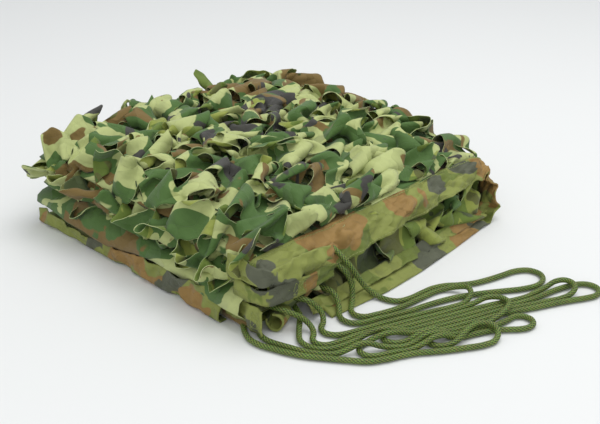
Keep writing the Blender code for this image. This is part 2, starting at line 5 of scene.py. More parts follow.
import bpy
import numpy as np
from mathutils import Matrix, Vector


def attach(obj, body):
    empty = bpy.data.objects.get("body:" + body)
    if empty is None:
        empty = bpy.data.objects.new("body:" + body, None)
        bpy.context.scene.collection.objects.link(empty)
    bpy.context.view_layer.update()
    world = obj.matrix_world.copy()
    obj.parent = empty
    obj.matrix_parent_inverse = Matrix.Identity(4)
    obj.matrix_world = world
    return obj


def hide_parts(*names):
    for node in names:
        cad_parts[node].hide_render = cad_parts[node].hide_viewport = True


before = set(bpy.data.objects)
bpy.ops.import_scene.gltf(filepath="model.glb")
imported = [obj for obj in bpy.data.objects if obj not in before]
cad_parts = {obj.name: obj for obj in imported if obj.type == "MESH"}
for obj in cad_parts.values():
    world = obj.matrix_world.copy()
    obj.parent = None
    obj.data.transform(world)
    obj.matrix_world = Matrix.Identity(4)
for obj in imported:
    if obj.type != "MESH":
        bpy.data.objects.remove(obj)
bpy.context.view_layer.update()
MM = 0.001


# ---------------------------------------------------------------------------
# Camera: a 60 mm lens that looks down on the pack's front right corner.
# ---------------------------------------------------------------------------
CAMERA_TARGET = Vector((0.0543, -0.0100, 0.0300))
CAMERA_AZIMUTH = math.radians(44.30)
CAMERA_ELEVATION = math.radians(24.90)
CAMERA_DISTANCE = 0.979

camera_data = bpy.data.cameras.new("camera")
camera_data.lens = 60
camera_data.sensor_width = 36
camera = bpy.data.objects.new("camera", camera_data)
bpy.context.collection.objects.link(camera)
bpy.context.scene.camera = camera
camera_back = Vector((
    math.sin(CAMERA_AZIMUTH) * math.cos(CAMERA_ELEVATION),
    -math.cos(CAMERA_AZIMUTH) * math.cos(CAMERA_ELEVATION),
    math.sin(CAMERA_ELEVATION),
))
camera.location = CAMERA_TARGET + camera_back * CAMERA_DISTANCE
camera.rotation_mode = "QUATERNION"
camera.rotation_quaternion = (-camera_back).to_track_quat("-Z", "Y")


# ---------------------------------------------------------------------------
# Tie cords: 5 mm braided olive green cord, with painted shade in the grooves between
# its strands and painted highlights on their crowns. Each is tied inside the pack, comes
# out at its side, lies on the floor in loose loops, and goes back in.
# ---------------------------------------------------------------------------
CORD_DIAMETER = 0.005
CORD_STEP = 0.00085
CORD_SIDES = 24
BRAID_STRANDS = 6
BRAID_PITCH = 0.020
BRAID_RELIEF = 0.00022
BUNDLE_ORIGIN = np.array([0.190, -0.150, 0.0])
BUNDLE_ALONG = np.array([0.35, 0.937, 0.0]) / math.hypot(0.35, 0.937)
BUNDLE_ACROSS = np.array([BUNDLE_ALONG[1], -BUNDLE_ALONG[0], 0.0])

# Each route is a list of (along the bundle, across it, up) points in millimetres.
TIE_CORDS = (
    ("tie_cord_1", (
        (48.5, -67, 55.3), (57, -60, 52.5), (62, -53.4, 47.5), (66.4, -47.4, 41.5),
        (72, -44.5, 33), (79.4, -44.6, 21), (88.3, -43.7, 9), (95.5, -38.9, 3.2),
        (100.5, -30.8, 2.7), (108, -25, 2.7), (120, -25, 2.7), (134, -28.7, 2.7),
        (147, -31.7, 2.7), (160, -31, 2.7), (172, -27, 2.7), (186, -24, 2.7),
        (202, -24, 2.7), (218, -25.5, 2.7), (234, -27, 2.7), (246, -23, 2.7),
        (251, -13, 2.7), (247, -3, 2.7), (236, 3.5, 2.7), (220, 3.5, 2.7),
        (204, 0, 2.7), (188, -4, 2.7), (172, -7, 2.7), (156, -9, 2.7),
        (140, -9, 2.7), (124, -8, 2.7), (108, -6, 2.7), (92, -6, 2.7),
        (77, -6.5, 2.7), (64, -6.5, 2.7), (54.1, -9.5, 2.7), (49.1, -17.3, 2.7),
        (50, -26.2, 3.2), (53, -32.6, 6.5), (53.4, -37.4, 12), (51.2, -42.6, 17),
        (46, -50, 18), (37, -62, 17.6))),
    ("tie_cord_2", (
        (56, -68, 34.4), (62, -59.5, 33.5), (66, -53.5, 31), (69.6, -48.5, 26),
        (71.6, -45, 18.5), (70.8, -41.4, 10), (67, -35.5, 4), (62.6, -28, 2.7),
        (62.4, -20.2, 2.7), (68.2, -14.4, 2.7), (80, -13.2, 2.7), (94, -13.5, 2.7),
        (107, -15.5, 2.7), (120, -19, 2.7), (134, -22.8, 2.7), (146, -25.8, 2.7),
        (156, -25.6, 3), (165.6, -20.6, 5.4), (170.6, -11.4, 8.4), (167.2, -1.6, 7.4),
        (157.6, 3.2, 3.6), (144, 3.6, 2.7), (129, 3, 2.7), (114, 2.5, 2.7),
        (100, 2, 2.7), (84, 2, 2.7), (68, 2.5, 2.7), (54, 3, 2.7),
        (42, 3.2, 2.7), (32.4, 1.2, 2.7), (26.2, -5.2, 2.7), (26.6, -13.8, 2.7),
        (32, -20.4, 3.4), (33.8, -26.6, 8), (30, -30.6, 14.5), (22.9, -33.5, 20),
        (14.5, -41.5, 20.5), (4.5, -50, 18))),
    ("tie_cord_3", (
        (-12, -40, 20.6), (-3.5, -28.6, 20.5), (6.1, -23.6, 16), (14.2, -20.8, 10.5),
        (18.4, -15, 5), (16.8, -7.6, 3), (12.6, -1.2, 2.7), (12.4, 5.6, 2.7),
        (17.2, 11, 2.7), (25.5, 12.4, 2.7), (36, 11, 2.7), (47, 9.2, 2.7),
        (58, 8.6, 2.7), (72, 8.5, 2.7), (88, 8.6, 2.7), (104, 8.8, 2.7),
        (120, 9.3, 2.7), (136, 9.3, 2.7), (152, 9.2, 3), (164, 8.8, 4.6),
        (176, 10, 7.9), (186, 15.6, 8.4), (188, 25, 8.4), (181, 32.6, 8.4),
        (171, 36.8, 6.4), (158, 38.4, 3), (142, 38, 2.7), (128, 37.4, 2.7),
        (117, 37, 3.6), (107, 36, 7.8), (98, 35.4, 8.4), (90, 35.4, 6.4),
        (82, 35, 3.6), (75, 34, 2.7), (68.2, 31, 2.7), (65.2, 24.4, 2.7),
        (68.2, 17.6, 2.7), (75.6, 14.6, 2.7), (86, 14.2, 2.7), (98, 14.4, 2.7),
        (112, 14.8, 2.7), (128, 15.2, 2.7), (144, 15.2, 2.7), (160, 15, 2.7),
        (176, 15.2, 2.7), (190, 16, 2.7), (202, 17, 2.7), (214, 16.6, 2.7),
        (226, 13.6, 2.7), (238, 11.4, 3.6), (249, 11.4, 7.4), (256.8, 14.6, 8.5),
        (259.8, 21.8, 8.5), (256.8, 29, 7.4), (249.5, 32, 4.4), (239, 31.8, 2.7),
        (225, 30.6, 2.7), (210, 29.6, 2.7), (196, 28, 2.7), (182, 26.6, 2.7),
        (166, 26.4, 2.7), (150, 26.6, 2.7), (134, 26.4, 2.7), (118, 26, 2.7),
        (102, 25.9, 2.7), (90, 25.8, 3), (79, 25.6, 6.8), (67, 25, 8.5),
        (58, 23.2, 6), (49.4, 22.7, 2.9), (41.8, 25.8, 2.7), (38.7, 33, 2.7),
        (41.8, 40.2, 2.7), (50, 43.4, 2.7), (64, 44.6, 2.7), (77, 46.8, 2.7),
        (88, 47.4, 5.6), (98, 47.4, 9.2), (108, 47.6, 8.6), (118, 48.2, 3.6),
        (130, 48.6, 2.7), (144, 49.2, 2.7), (157, 51.2, 2.7), (168, 55.4, 2.7),
        (176.4, 58.6, 2.7), (184.4, 59.4, 2.7), (191.2, 56.4, 2.7), (194, 49.6, 2.7),
        (191.2, 42.8, 2.7), (184.4, 40, 2.8), (174, 42.4, 2.7), (163, 44.4, 2.7),
        (150, 43.8, 2.7), (134, 43, 2.7), (120, 42.8, 3.2), (107, 41.8, 8.2),
        (95, 41.3, 9), (85, 41, 5), (76, 40.6, 2.8), (65, 37.4, 2.9),
        (56, 34, 4.6), (48, 31.4, 7.8), (39, 29.6, 8.5), (30, 28.6, 5.6),
        (20, 27, 3), (9, 21.4, 2.7), (-1.6, 12.8, 2.7), (-9, 3.2, 2.7),
        (-15.4, -5, 2.7), (-21, -13.5, 2.7), (-23.6, -24, 2.7), (-22, -34, 2.7),
        (-20.5, -41, 2.7))),
    ("tie_cord_4", (
        (18, -54.6, 8), (17.6, -45, 8), (16.8, -35.1, 7), (12.1, -24.8, 6),
        (6.5, -14.2, 4), (2.6, -4, 2.8), (3.8, 5.4, 2.7), (10.2, 14, 2.7),
        (21, 18.4, 2.7), (33, 17.6, 2.7), (45, 15.4, 3), (54, 15.4, 6),
        (62, 16.8, 8.5), (71, 18.8, 8.5), (81, 20.2, 5.4), (91, 20.4, 2.8),
        (104, 20.4, 2.7), (120, 20.6, 2.7), (138, 20.9, 2.7), (156, 20.7, 2.7),
        (172, 20.8, 2.7), (186, 21.4, 2.7), (200, 22.8, 2.7), (214, 22.8, 2.7),
        (228, 20.6, 2.7), (241, 18.2, 2.7), (252, 17, 2.7), (262, 16.8, 2.7),
        (270.6, 17.8, 2.7), (278, 22, 2.7), (281, 29.4, 2.7), (278, 36.8, 2.7),
        (270.4, 40.8, 2.7), (260, 40.6, 2.7), (250, 39, 2.7), (239, 37.5, 2.7),
        (226, 36.2, 2.7), (212, 35.2, 2.7), (198, 33.6, 2.7), (184, 32.2, 2.7),
        (168, 32, 2.7), (152, 32.2, 2.7), (136, 32, 2.7), (124, 31.8, 2.7),
        (114, 31.5, 2.7), (106, 31.6, 2.7), (98.8, 35, 2.7), (95.6, 42.4, 2.7),
        (98.8, 50, 2.7), (106, 53.8, 2.8), (115.6, 54.4, 4.8), (125, 51, 8.4),
        (134, 46.2, 8.6), (144.4, 43.8, 8.5), (153, 48.8, 8.5), (154, 57.6, 6.4),
        (147, 64.4, 3), (135, 66, 2.7), (120, 63.6, 2.7), (106, 60.6, 2.7),
        (92, 57, 2.7), (79, 53, 2.7), (66, 51.2, 2.7), (52, 50.2, 2.7),
        (38, 47.2, 2.7), (24, 38.6, 2.7), (8, 27.6, 2.7), (-4.6, 18.2, 2.7),
        (-14.4, 8.4, 2.7), (-22.6, -1.6, 2.7), (-30, -11.4, 2.7), (-34, -22, 2.7),
        (-33.6, -34, 2.7), (-31, -44, 2.7), (-29.6, -51, 2.7))),
)


def smooth_route(points, steps):
    """A Catmull-Rom curve through the points, each span weighted by the square root
    of its length: a cubic from each point to the next whose end tangents blend the
    slopes of the chords on either side."""
    points = np.asarray(points, float)
    padded = np.vstack([2 * points[0] - points[1], points, 2 * points[-1] - points[-2]])
    before, start, end, after = padded[:-3], padded[1:-2], padded[2:-1], padded[3:]
    gap_before, gap, gap_after = (
        np.sqrt(np.linalg.norm(b - a, axis=1))[:, None]
        for a, b in ((before, start), (start, end), (end, after))
    )
    leave = (start - before) / gap_before - (end - before) / (gap_before + gap)
    leave = (leave + (end - start) / gap) * gap
    arrive = (end - start) / gap - (after - start) / (gap + gap_after)
    arrive = (arrive + (after - end) / gap_after) * gap
    t = (np.arange(steps) / steps)[None, :, None]
    line = (
        (2 * t**3 - 3 * t**2 + 1) * start[:, None] + (t**3 - 2 * t**2 + t) * leave[:, None]
        + (3 * t**2 - 2 * t**3) * end[:, None] + (t**3 - t**2) * arrive[:, None]
    )
    return np.vstack([line.reshape(-1, 3), points[-1:]])


def even_steps(line, step):
    """The line read at even distances along it, and those distances."""
    along = np.concatenate([[0], np.cumsum(np.linalg.norm(np.diff(line, axis=0), axis=1))])
    wanted = np.linspace(0, along[-1], max(int(along[-1] / step), 2) + 1)
    read = [np.interp(wanted, along, line[:, k]) for k in range(line.shape[1])]
    return np.stack(read, 1), wanted


def tube_frames(line):
    """Two directions square to the line at each point, carried along it so that they
    turn as little as possible."""
    ahead = np.gradient(line, axis=0)
    ahead /= np.linalg.norm(ahead, axis=1)[:, None]
    side = np.empty_like(line)
    side[0] = np.cross(ahead[0], (0.0, 0.0, 1.0))
    for n in range(1, len(line)):
        side[n] = side[n - 1] - ahead[n] * (side[n - 1] @ ahead[n])
        side[n] /= np.linalg.norm(side[n])
    side[0] /= np.linalg.norm(side[0])
    return side, np.cross(ahead, side)


def grid_faces(rows, columns, closed=False):
    """The four-cornered faces of a grid of rows by columns of points. Where closed,
    the last column joins the first."""
    row = np.arange(rows - 1)[:, None] * columns
    column = np.arange(columns if closed else columns - 1)[None, :]
    following = (column + 1) % columns
    return np.stack([
        row + column, row + following, row + columns + following, row + columns + column
    ], -1).reshape(-1, 4)


def add_piece(name, points, faces, materials, uv=None, replaces=()):
    """Make an object from points, faces and a UV pair for each point, put it on the
    root body and hide the imported solids that it stands for."""
    data = bpy.data.meshes.new(name)
    data.from_pydata(np.reshape(points, (-1, 3)).tolist(), [], np.asarray(faces).tolist())
    if uv is not None:
        layer = data.uv_layers.new(name="UVMap")
        corners = np.empty(len(data.loops), np.int32)
        data.loops.foreach_get("vertex_index", corners)
        layer.data.foreach_set("uv", np.reshape(uv, (-1, 2))[corners].ravel())
    data.polygons.foreach_set("use_smooth", np.ones(len(data.polygons), bool))
    for material in materials:
        data.materials.append(material)
    piece = bpy.data.objects.new(name, data)
    bpy.context.collection.objects.link(piece)
    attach(piece, "root")
    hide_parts(*replaces)
    return piece


def give_wall(piece, thickness, cut_rim=False):
    """Thicken a sheet to both sides of its surface. Where cut_rim, its reverse and
    its edge take the piece's second and third materials."""
    wall = piece.modifiers.new("thickness", "SOLIDIFY")
    wall.thickness = thickness
    wall.offset = 0
    if cut_rim:
        wall.material_offset = 1
        wall.material_offset_rim = 2


def new_material(name, roughness, sheen=0.0):
    """A Principled material with its constants set on the shader's own sockets."""
    material = bpy.data.materials.new(name)
    material.use_nodes = True
    shader = material.node_tree.nodes["Principled BSDF"]
    shader.inputs["Roughness"].default_value = roughness
    shader.inputs["Sheen Weight"].default_value = sheen
    shader.inputs["Sheen Roughness"].default_value = 0.5
    return material, material.node_tree.nodes, material.node_tree.links, shader


def add_node(nodes, kind, values=None, **settings):
    """Add a shader node, with its settings by name and then its sockets' values."""
    node = nodes.new("ShaderNode" + kind)
    for name, setting in settings.items():
        setattr(node, name, setting)
    for socket, value in (values or {}).items():
        node.inputs[socket].default_value = value
    return node


def connect(links, *rows):
    """Join nodes: each row is a node, its output, another node and its input."""
    for source, output, target, socket in rows:
        links.new(source.outputs[output], target.inputs[socket])


def srgb(red, green, blue):
    """A colour given from 0 to 255 as display values, in linear light."""
    value = np.array([red, green, blue]) / 255
    linear = np.where(value <= 0.04045, value / 12.92, ((value + 0.055) / 1.055) ** 2.4)
    return (*linear.tolist(), 1.0)


def cord_material():
    """Olive green cord, coloured from the braid's relief: painted shade, dark green to nearly
    black, in the grooves between strands and a painted highlight, pale olive, on their
    crowns, with a scatter of paler filaments."""
    material, nodes, links, shader = new_material("braided_cord", 0.62, sheen=0.03)
    relief = add_node(nodes, "Attribute", attribute_name="braid")
    # Painted shade, nearly black, in the grooves, olive green between, and a painted highlight,
    # pale olive, on the crowns.
    ramp = add_node(nodes, "ValToRGB")
    ramp.color_ramp.elements[0].position = 0.30
    ramp.color_ramp.elements[0].color = srgb(10, 18, 2)
    ramp.color_ramp.elements[1].position = 1.0
    ramp.color_ramp.elements[1].color = srgb(160, 180, 82)
    ramp.color_ramp.elements.new(0.74).color = srgb(66, 88, 22)
    place = add_node(nodes, "TexCoord")
    flecks = add_node(nodes, "TexNoise", {"Scale": 900, "Detail": 1})
    brighten = add_node(
        nodes, "Mix", {"Factor": 0.75}, data_type="RGBA", blend_type="OVERLAY")
    connect(
        links, (place, "Object", flecks, "Vector"), (relief, "Fac", ramp, "Fac"),
        (ramp, "Color", brighten, "A"), (flecks, "Color", brighten, "B"),
        (brighten, "Result", shader, "Base Color"))
    return material


def braided_cord(name, route, material):
    """A round tube along the route. Its radius swells where a strand of one of two
    opposite helices passes over: the relief is the larger of the cosines of
    (pitch angle + strands x turn) and (pitch angle - strands x turn)."""
    route = np.array(route) * MM
    points = (
        BUNDLE_ORIGIN + route[:, :1] * BUNDLE_ALONG + route[:, 1:2] * BUNDLE_ACROSS
        + route[:, 2:] * (0.0, 0.0, 1.0)
    )
    line, along = even_steps(smooth_route(points, 16), CORD_STEP)
    side, up = tube_frames(line)
    turn = np.arange(CORD_SIDES) * 2 * np.pi / CORD_SIDES
    pitch = (2 * np.pi * BRAID_STRANDS / BRAID_PITCH * along)[:, None]
    relief = np.maximum(
        np.cos(pitch + BRAID_STRANDS * turn), np.cos(pitch - BRAID_STRANDS * turn))
    relief = (relief + 1) / 2
    radius = CORD_DIAMETER / 2 - BRAID_RELIEF * (1 - relief)
    ring = np.cos(turn)[:, None] * side[:, None] + np.sin(turn)[:, None] * up[:, None]
    surface = line[:, None] + radius[..., None] * ring
    faces = grid_faces(len(line), CORD_SIDES, closed=True).tolist()
    faces = faces + [list(range(CORD_SIDES))[::-1]]
    faces.append([(len(line) - 1) * CORD_SIDES + n for n in range(CORD_SIDES)])
    data = bpy.data.meshes.new(name)
    data.from_pydata(surface.reshape(-1, 3).tolist(), [], faces)
    data.polygons.foreach_set("use_smooth", np.ones(len(data.polygons), bool))
    # The relief is also kept on each point, for the material's painted shade in the grooves and
    # painted highlights on the crowns.
    data.attributes.new("braid", "FLOAT", "POINT").data.foreach_set("value", relief.ravel())
    data.materials.append(material)
    cord = bpy.data.objects.new(name + "_braided", data)
    bpy.context.collection.objects.link(cord)
    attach(cord, "root")
    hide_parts(name)
    tuple(line[0])


braid = cord_material()
for cord_name, cord_route in TIE_CORDS:
    braided_cord(cord_name, cord_route, braid)


# ---------------------------------------------------------------------------
# Garnish: thin printed cloth, cut in rows of wavy slits and tied to netting at the
# uncut bridges. There is far more cloth than netting, so between its ties each
# strip buckles, stands up and rolls over into leaves.
# ---------------------------------------------------------------------------
CLOTH_LEFT = -0.166
CLOTH_RIGHT = 0.1415
CELL = 0.0048
RIBBON_CELLS = 6
RIBBON = RIBBON_CELLS * CELL
SLIT_WAVE_LENGTH = 0.074
SLIT_WAVE = 0.0105
SLIT_SHIFT = 0.013
SCALLOP_SHARE = 0.45
BRIDGE = 0.0066
# A little over half a cell, so that each bridge has one tied column.
TIE_REACH = CELL * 0.51
CLOTH_THICKNESS = 0.0004
FALL_PER_STEP = 0.00003
SETTLING_STEPS = 140
PULL_ROUNDS = 5
# Leaves nearer to one another than the gap are moved apart at every third step.
LEAF_GAP = 0.0050
SPREAD_EVERY = 3
# Shares: of a point's speed that a step keeps, of a tie's stretch that one pull takes
# up, of the bridges that are tied, and of the columns that are creased.
SPEED_KEPT = 0.80
TIE_PULL = 0.6
TIED_SHARE = 0.72
CREASED_SHARE = 0.22
# The share of its motion that a point loses in a step where it touches the pack.
TOUCHING_DRAG = 0.6
# How far the standing ribbons start off their lines: along the pack, at random, and
# up at the least. The ties are a little above the pack, and the sheet's two ends are
# tied at every fourth column.
SWAY = 0.009
ROUGHNESS = 0.0015
LEAST_LIFT = 0.004
TIE_HEIGHT = 0.002
END_TIE_EVERY = 4
# How stiffly the cloth resists bending at a crease and between creases.
CREASE_STIFFNESS = 0.01
FLAT_STIFFNESS = 0.34


class SlitCloth:
    """A sheet of slit cloth on a grid of ribbons x rows x columns of points. Each
    ribbon has its own edge rows; two neighbours share theirs only at the bridges.
    A slit runs at depth x (sin phase + a share of scallops, |sin 2.5 phase| less its
    mean), half a wave on from its neighbours, with its bridges in its troughs."""

    def __init__(self, ribbons, columns, seed):
        self.random = np.random.default_rng(seed)
        rows = RIBBON_CELLS + 1
        across = np.arange(columns) * CELL
        shift = self.random.normal(0, SLIT_SHIFT, ribbons + 1)
        self.phase = 2 * np.pi * (across[None, :] + shift[:, None]) / SLIT_WAVE_LENGTH
        self.phase += np.pi * np.arange(ribbons + 1)[:, None]
        depth = SLIT_WAVE * self.random.uniform(0.7, 1.25, (ribbons + 1, 1))
        depth[0] = depth[-1] = 0
        scallops = np.abs(np.sin(2.5 * self.phase + 0.6)) - 0.64
        slit = np.arange(ribbons + 1)[:, None] * RIBBON
        slit = slit + depth * (np.sin(self.phase) + SCALLOP_SHARE * scallops)
        share = (np.arange(rows) / RIBBON_CELLS)[None, :, None]
        along = slit[:-1, None, :] * (1 - share) + slit[1:, None, :] * share
        across = np.broadcast_to(across, along.shape)
        self.flat = np.stack([across, along], -1)
        self.size = (across.max(), ribbons * RIBBON)
        near = np.abs((self.phase / (2 * np.pi) + 0.25 + 0.5) % 1 - 0.5) * SLIT_WAVE_LENGTH
        self.bridge = near < BRIDGE
        self.bridge[0] = self.bridge[-1] = False
        self.tie = near < TIE_REACH
        creased = self.random.uniform(0, 1, (ribbons, 1, columns, 1)) < CREASED_SHARE
        self.stiffness = np.where(creased, CREASE_STIFFNESS, FLAT_STIFFNESS)
        self.links = list(self.make_links())

    def make_links(self):
        """Pairs of slices of the grid that are held at their flat distance: along
        and across the threads, on both diagonals, and two cells apart to resist
        folding, which is easy at a few creases. Each pair moves no point twice."""
        whole = slice(None)
        left, right = slice(0, -1), slice(1, None)
        beside = {0: (whole, whole), 1: (left, right), -1: (right, left)}
        for kind, row_step, column_step, grip in (
            ("thread", 0, 1, 1.0), ("thread", 1, 0, 1.0),
            ("bias", 1, 1, 0.6), ("bias", 1, -1, 0.6),
            ("bend", 0, 2, 0.16), ("bend", 2, 0, 0.16),
        ):
            rows, columns = self.flat.shape[1:3]
            reach = max(row_step, abs(column_step))
            by_row = row_step > 0
            count = rows if by_row else columns
            for start in range(2 * reach):
                first = np.array([
                    n for n in range(count - reach)
                    if (n % (2 * reach)) // reach == start // reach
                    and n % reach == start % reach
                ], int)
                if not len(first):
                    continue
                a = slice(first[0], first[-1] + 1, 2 * reach)
                b = slice(first[0] + reach, first[-1] + reach + 1, 2 * reach)
                if by_row:
                    one_way, two_way = beside[column_step]
                    one, two = (whole, a, one_way), (whole, b, two_way)
                else:
                    one, two = (whole, whole, a), (whole, whole, b)
                length = np.linalg.norm(self.flat[one] - self.flat[two], axis=-1)[..., None]
                if kind == "bend" and not by_row:
                    middle = slice(first[0] + 1, first[-1] + 2, 2 * reach)
                    yield one, two, length, self.stiffness[:, :, middle]
                else:
                    yield one, two, length, grip

    def soft_noise(self, shape, passes):
        """Random numbers, evened out along the ribbons, with a spread of 1."""
        noise = self.random.normal(0, 1, shape)
        for _ in range(passes):
            noise = (noise + np.roll(noise, 1, -1) + np.roll(noise, -1, -1)) / 3
        return noise / noise.std()

    def settle(self, place, keep_out, fall, loose=0.009, height=0.010, lean=1.1):
        """Tie the bridges where place(u, v) says and stand the ribbons between them,
        each leaning this way and that along its length. Then let them settle: each
        step moves the points on, lets them fall, and brings the links back to their
        flat lengths. loose is how far the ties wander, height how high the ribbons
        stand, and lean how far they tilt, in radians."""
        ribbons, rows, columns = self.flat.shape[:3]
        u = self.flat[..., 0] / self.size[0]
        middle = np.broadcast_to(
            ((np.arange(ribbons) + 0.5) / ribbons)[:, None, None], u.shape)
        base, outward = place(u, middle)
        ahead = place(u, middle + 0.01)[0] - place(u, middle - 0.01)[0]
        ahead /= np.linalg.norm(ahead, axis=-1)[..., None]
        across = (self.flat[..., 1] - middle * self.size[1])[..., None]
        angle = lean * np.tanh(1.4 * self.soft_noise((ribbons, 1, columns), 10))[..., None]
        sway = SWAY * self.soft_noise((ribbons, 1, columns), 4)[..., None]
        rough = ROUGHNESS * self.soft_noise(u.shape, 2)[..., None]
        stand = np.abs(self.soft_noise((ribbons, 1, columns), 5))[..., None]
        lift = LEAST_LIFT + height * stand
        points = (
            base + across * (np.cos(angle) * ahead + np.sin(angle) * outward)
            + (RIBBON / 2 * np.abs(np.sin(angle)) + lift + rough) * outward + sway * ahead)
        tie_base, tie_out = place(
            self.flat[:, 0, :, 0] / self.size[0], self.flat[:, 0, :, 1] / self.size[1])
        ties = self.tie[:-1].copy()
        ties &= self.random.uniform(0, 1, ties.shape) < TIED_SHARE
        ties[0] = np.arange(ties.shape[1]) % END_TIE_EVERY == 0
        slack = self.random.normal(0, loose, tie_base.shape)
        slack -= tie_out * (slack * tie_out).sum(-1)[..., None]
        tie_base = tie_base + slack + tie_out * TIE_HEIGHT
        top_base, _ = place(
            self.flat[-1, -1, :, 0] / self.size[0], self.flat[-1, -1, :, 1] / self.size[1])
        top_ties = np.arange(ties.shape[1]) % END_TIE_EVERY == 0
        bridge = self.bridge[1:-1]
        before = points.copy()
        for step in range(SETTLING_STEPS):
            speed = (points - before) * SPEED_KEPT
            before = points.copy()
            points = points + speed - (0.0, 0.0, fall)
            for _ in range(PULL_ROUNDS):
                for one, two, length, grip in self.links:
                    gap = points[two] - points[one]
                    span = np.sqrt((gap * gap).sum(-1, keepdims=True)) + 1e-9
                    move = gap * (0.5 * grip * (1 - length / span))
                    points[one] += move
                    points[two] -= move
                shared = (points[:-1, -1] + points[1:, 0]) / 2
                points[:-1, -1][bridge] = shared[bridge]
                points[1:, 0][bridge] = shared[bridge]
                low, top = points[:, 0], points[-1, -1]
                low[ties] += (tie_base[ties] - low[ties]) * TIE_PULL
                top[top_ties] += (top_base[top_ties] - top[top_ties]) * TIE_PULL
                points, touching = keep_out(points)
            if step % SPREAD_EVERY == 1:
                points += spread(points.reshape(-1, 3)).reshape(points.shape)
            before += (points - before) * (TOUCHING_DRAG * touching[..., None])
        self.points = points

    def mesh(self, ribbons):
        """The points, faces and flat positions of some ribbons, with the bridges
        joined."""
        shape = self.flat.shape[:3]
        number = np.arange(np.prod(shape)).reshape(shape)
        bridge = self.bridge[1:-1]
        number[1:, 0][bridge] = number[:-1, -1][bridge]
        number = number[ribbons]
        faces = np.stack([
            number[:, :-1, :-1], number[:, :-1, 1:], number[:, 1:, 1:], number[:, 1:, :-1]
        ], -1).reshape(-1, 4)
        used, faces = np.unique(faces, return_inverse=True)
        return (
            self.points.reshape(-1, 3)[used], faces.reshape(-1, 4), self.flat.reshape(-1, 2)[used])


# More cells than the pack has along any axis, the most points of one cell that a
# point is compared with, and the distance below which two points are one.
CELLS_ALONG = 1024
MOST_COMPARED = 4
SAME_POINT = 2e-4


def spread(points):
    """How far to move points that lie closer than LEAF_GAP to another: half the
    shortfall each, shared out. Points are sorted into cells of that width and
    compared with some of those in the same and the neighbouring cells."""
    cell = np.floor(points / LEAF_GAP).astype(np.int64) + CELLS_ALONG // 2
    key = (cell[:, 0] * CELLS_ALONG + cell[:, 1]) * CELLS_ALONG + cell[:, 2]
    order = np.argsort(key, kind="stable")
    keys = key[order]
    push = np.zeros_like(points)
    count = np.zeros(len(points))
    for dx in (0, 1):
        for dy in (-1, 0, 1):
            for dz in (-1, 0, 1):
                if (dx, dy, dz) < (0, 0, 0):
                    continue
                wanted = key + (dx * CELLS_ALONG + dy) * CELLS_ALONG + dz
                first = np.searchsorted(keys, wanted, "left")
                last = np.searchsorted(keys, wanted, "right")
                for n in range(min(int((last - first).max()), MOST_COMPARED)):
                    mine = np.nonzero(first + n < last)[0]
                    other = order[first[mine] + n]
                    if (dx, dy, dz) == (0, 0, 0):
                        apart = mine < other
                        mine, other = mine[apart], other[apart]
                    gap = points[other] - points[mine]
                    span = np.sqrt((gap * gap).sum(1))
                    near = (span < LEAF_GAP) & (span > SAME_POINT)
                    mine, other, gap, span = mine[near], other[near], gap[near], span[near]
                    move = gap * ((LEAF_GAP - span) / span / 2)[:, None]
                    for k in range(3):
                        push[:, k] += np.bincount(other, move[:, k], len(points))
                        push[:, k] -= np.bincount(mine, move[:, k], len(points))
                    count += np.bincount(mine, minlength=len(points))
                    count += np.bincount(other, minlength=len(points))
    return push / np.maximum(count, 1)[:, None]


PACK_CENTRE = np.array([-0.009, 0.003, 0.030])
PACK_HALF = np.array([0.152, 0.157, 0.0345])
PACK_ROUNDING = 0.016
# The pack's swell: its rise and the distance over which it rises from the taped edge,
# the height and shape of its dome, and the height above which it swells in full.
PACK_RISE = 0.017
RISE_LENGTH = 0.110
PACK_DOME = 0.006
DOME_X, DOME_Y, DOME_HALF = -0.01, 0.01, 0.19
FULL_SWELL_HEIGHT = 0.06
# How far the leaves may reach to the left, in front and behind, down and up.
LEAVES_LEFT = -0.176
LEAVES_FRONT, LEAVES_BACK = -0.189, 0.187
LEAVES_FLOOR, LEAVES_TOP = 0.002, 0.116
# On the right they stop short of the tape, and reach over it from a height upwards.
TAPE_CLEARANCE = 0.002
OVERHANG, OVERHANG_FROM, OVERHANG_RAMP = 0.010, 0.067, 0.008
# At the back right corner they lie lower: where that begins in x and y, over what
# distance it comes in, and by how much.
LOW_CORNER = (0.115, 0.095)
LOW_CORNER_RAMP = 0.020
LOW_CORNER_DROP = 0.030
# Along the front they end above the floor: where the front begins, and the height,
# depth and rate of the wavy hem.
HEM_FROM, HEM_RAMP = -0.150, 0.006
HEM_HEIGHT, HEM_WAVE, HEM_RATE = 0.024, 0.006, 31


def swell(x, y):
    """How much higher the pack's top is than beside its taped right edge: a smooth
    step away from that edge, and a product of two arches."""
    step = np.clip((CLOTH_RIGHT - x) / RISE_LENGTH, 0, 1)
    across = np.clip(1 - ((x - DOME_X) / DOME_HALF) ** 2, 0, 1)
    along = np.clip(1 - ((y - DOME_Y) / DOME_HALF) ** 2, 0, 1)
    return PACK_RISE * step**2 * (3 - 2 * step) + PACK_DOME * across * along


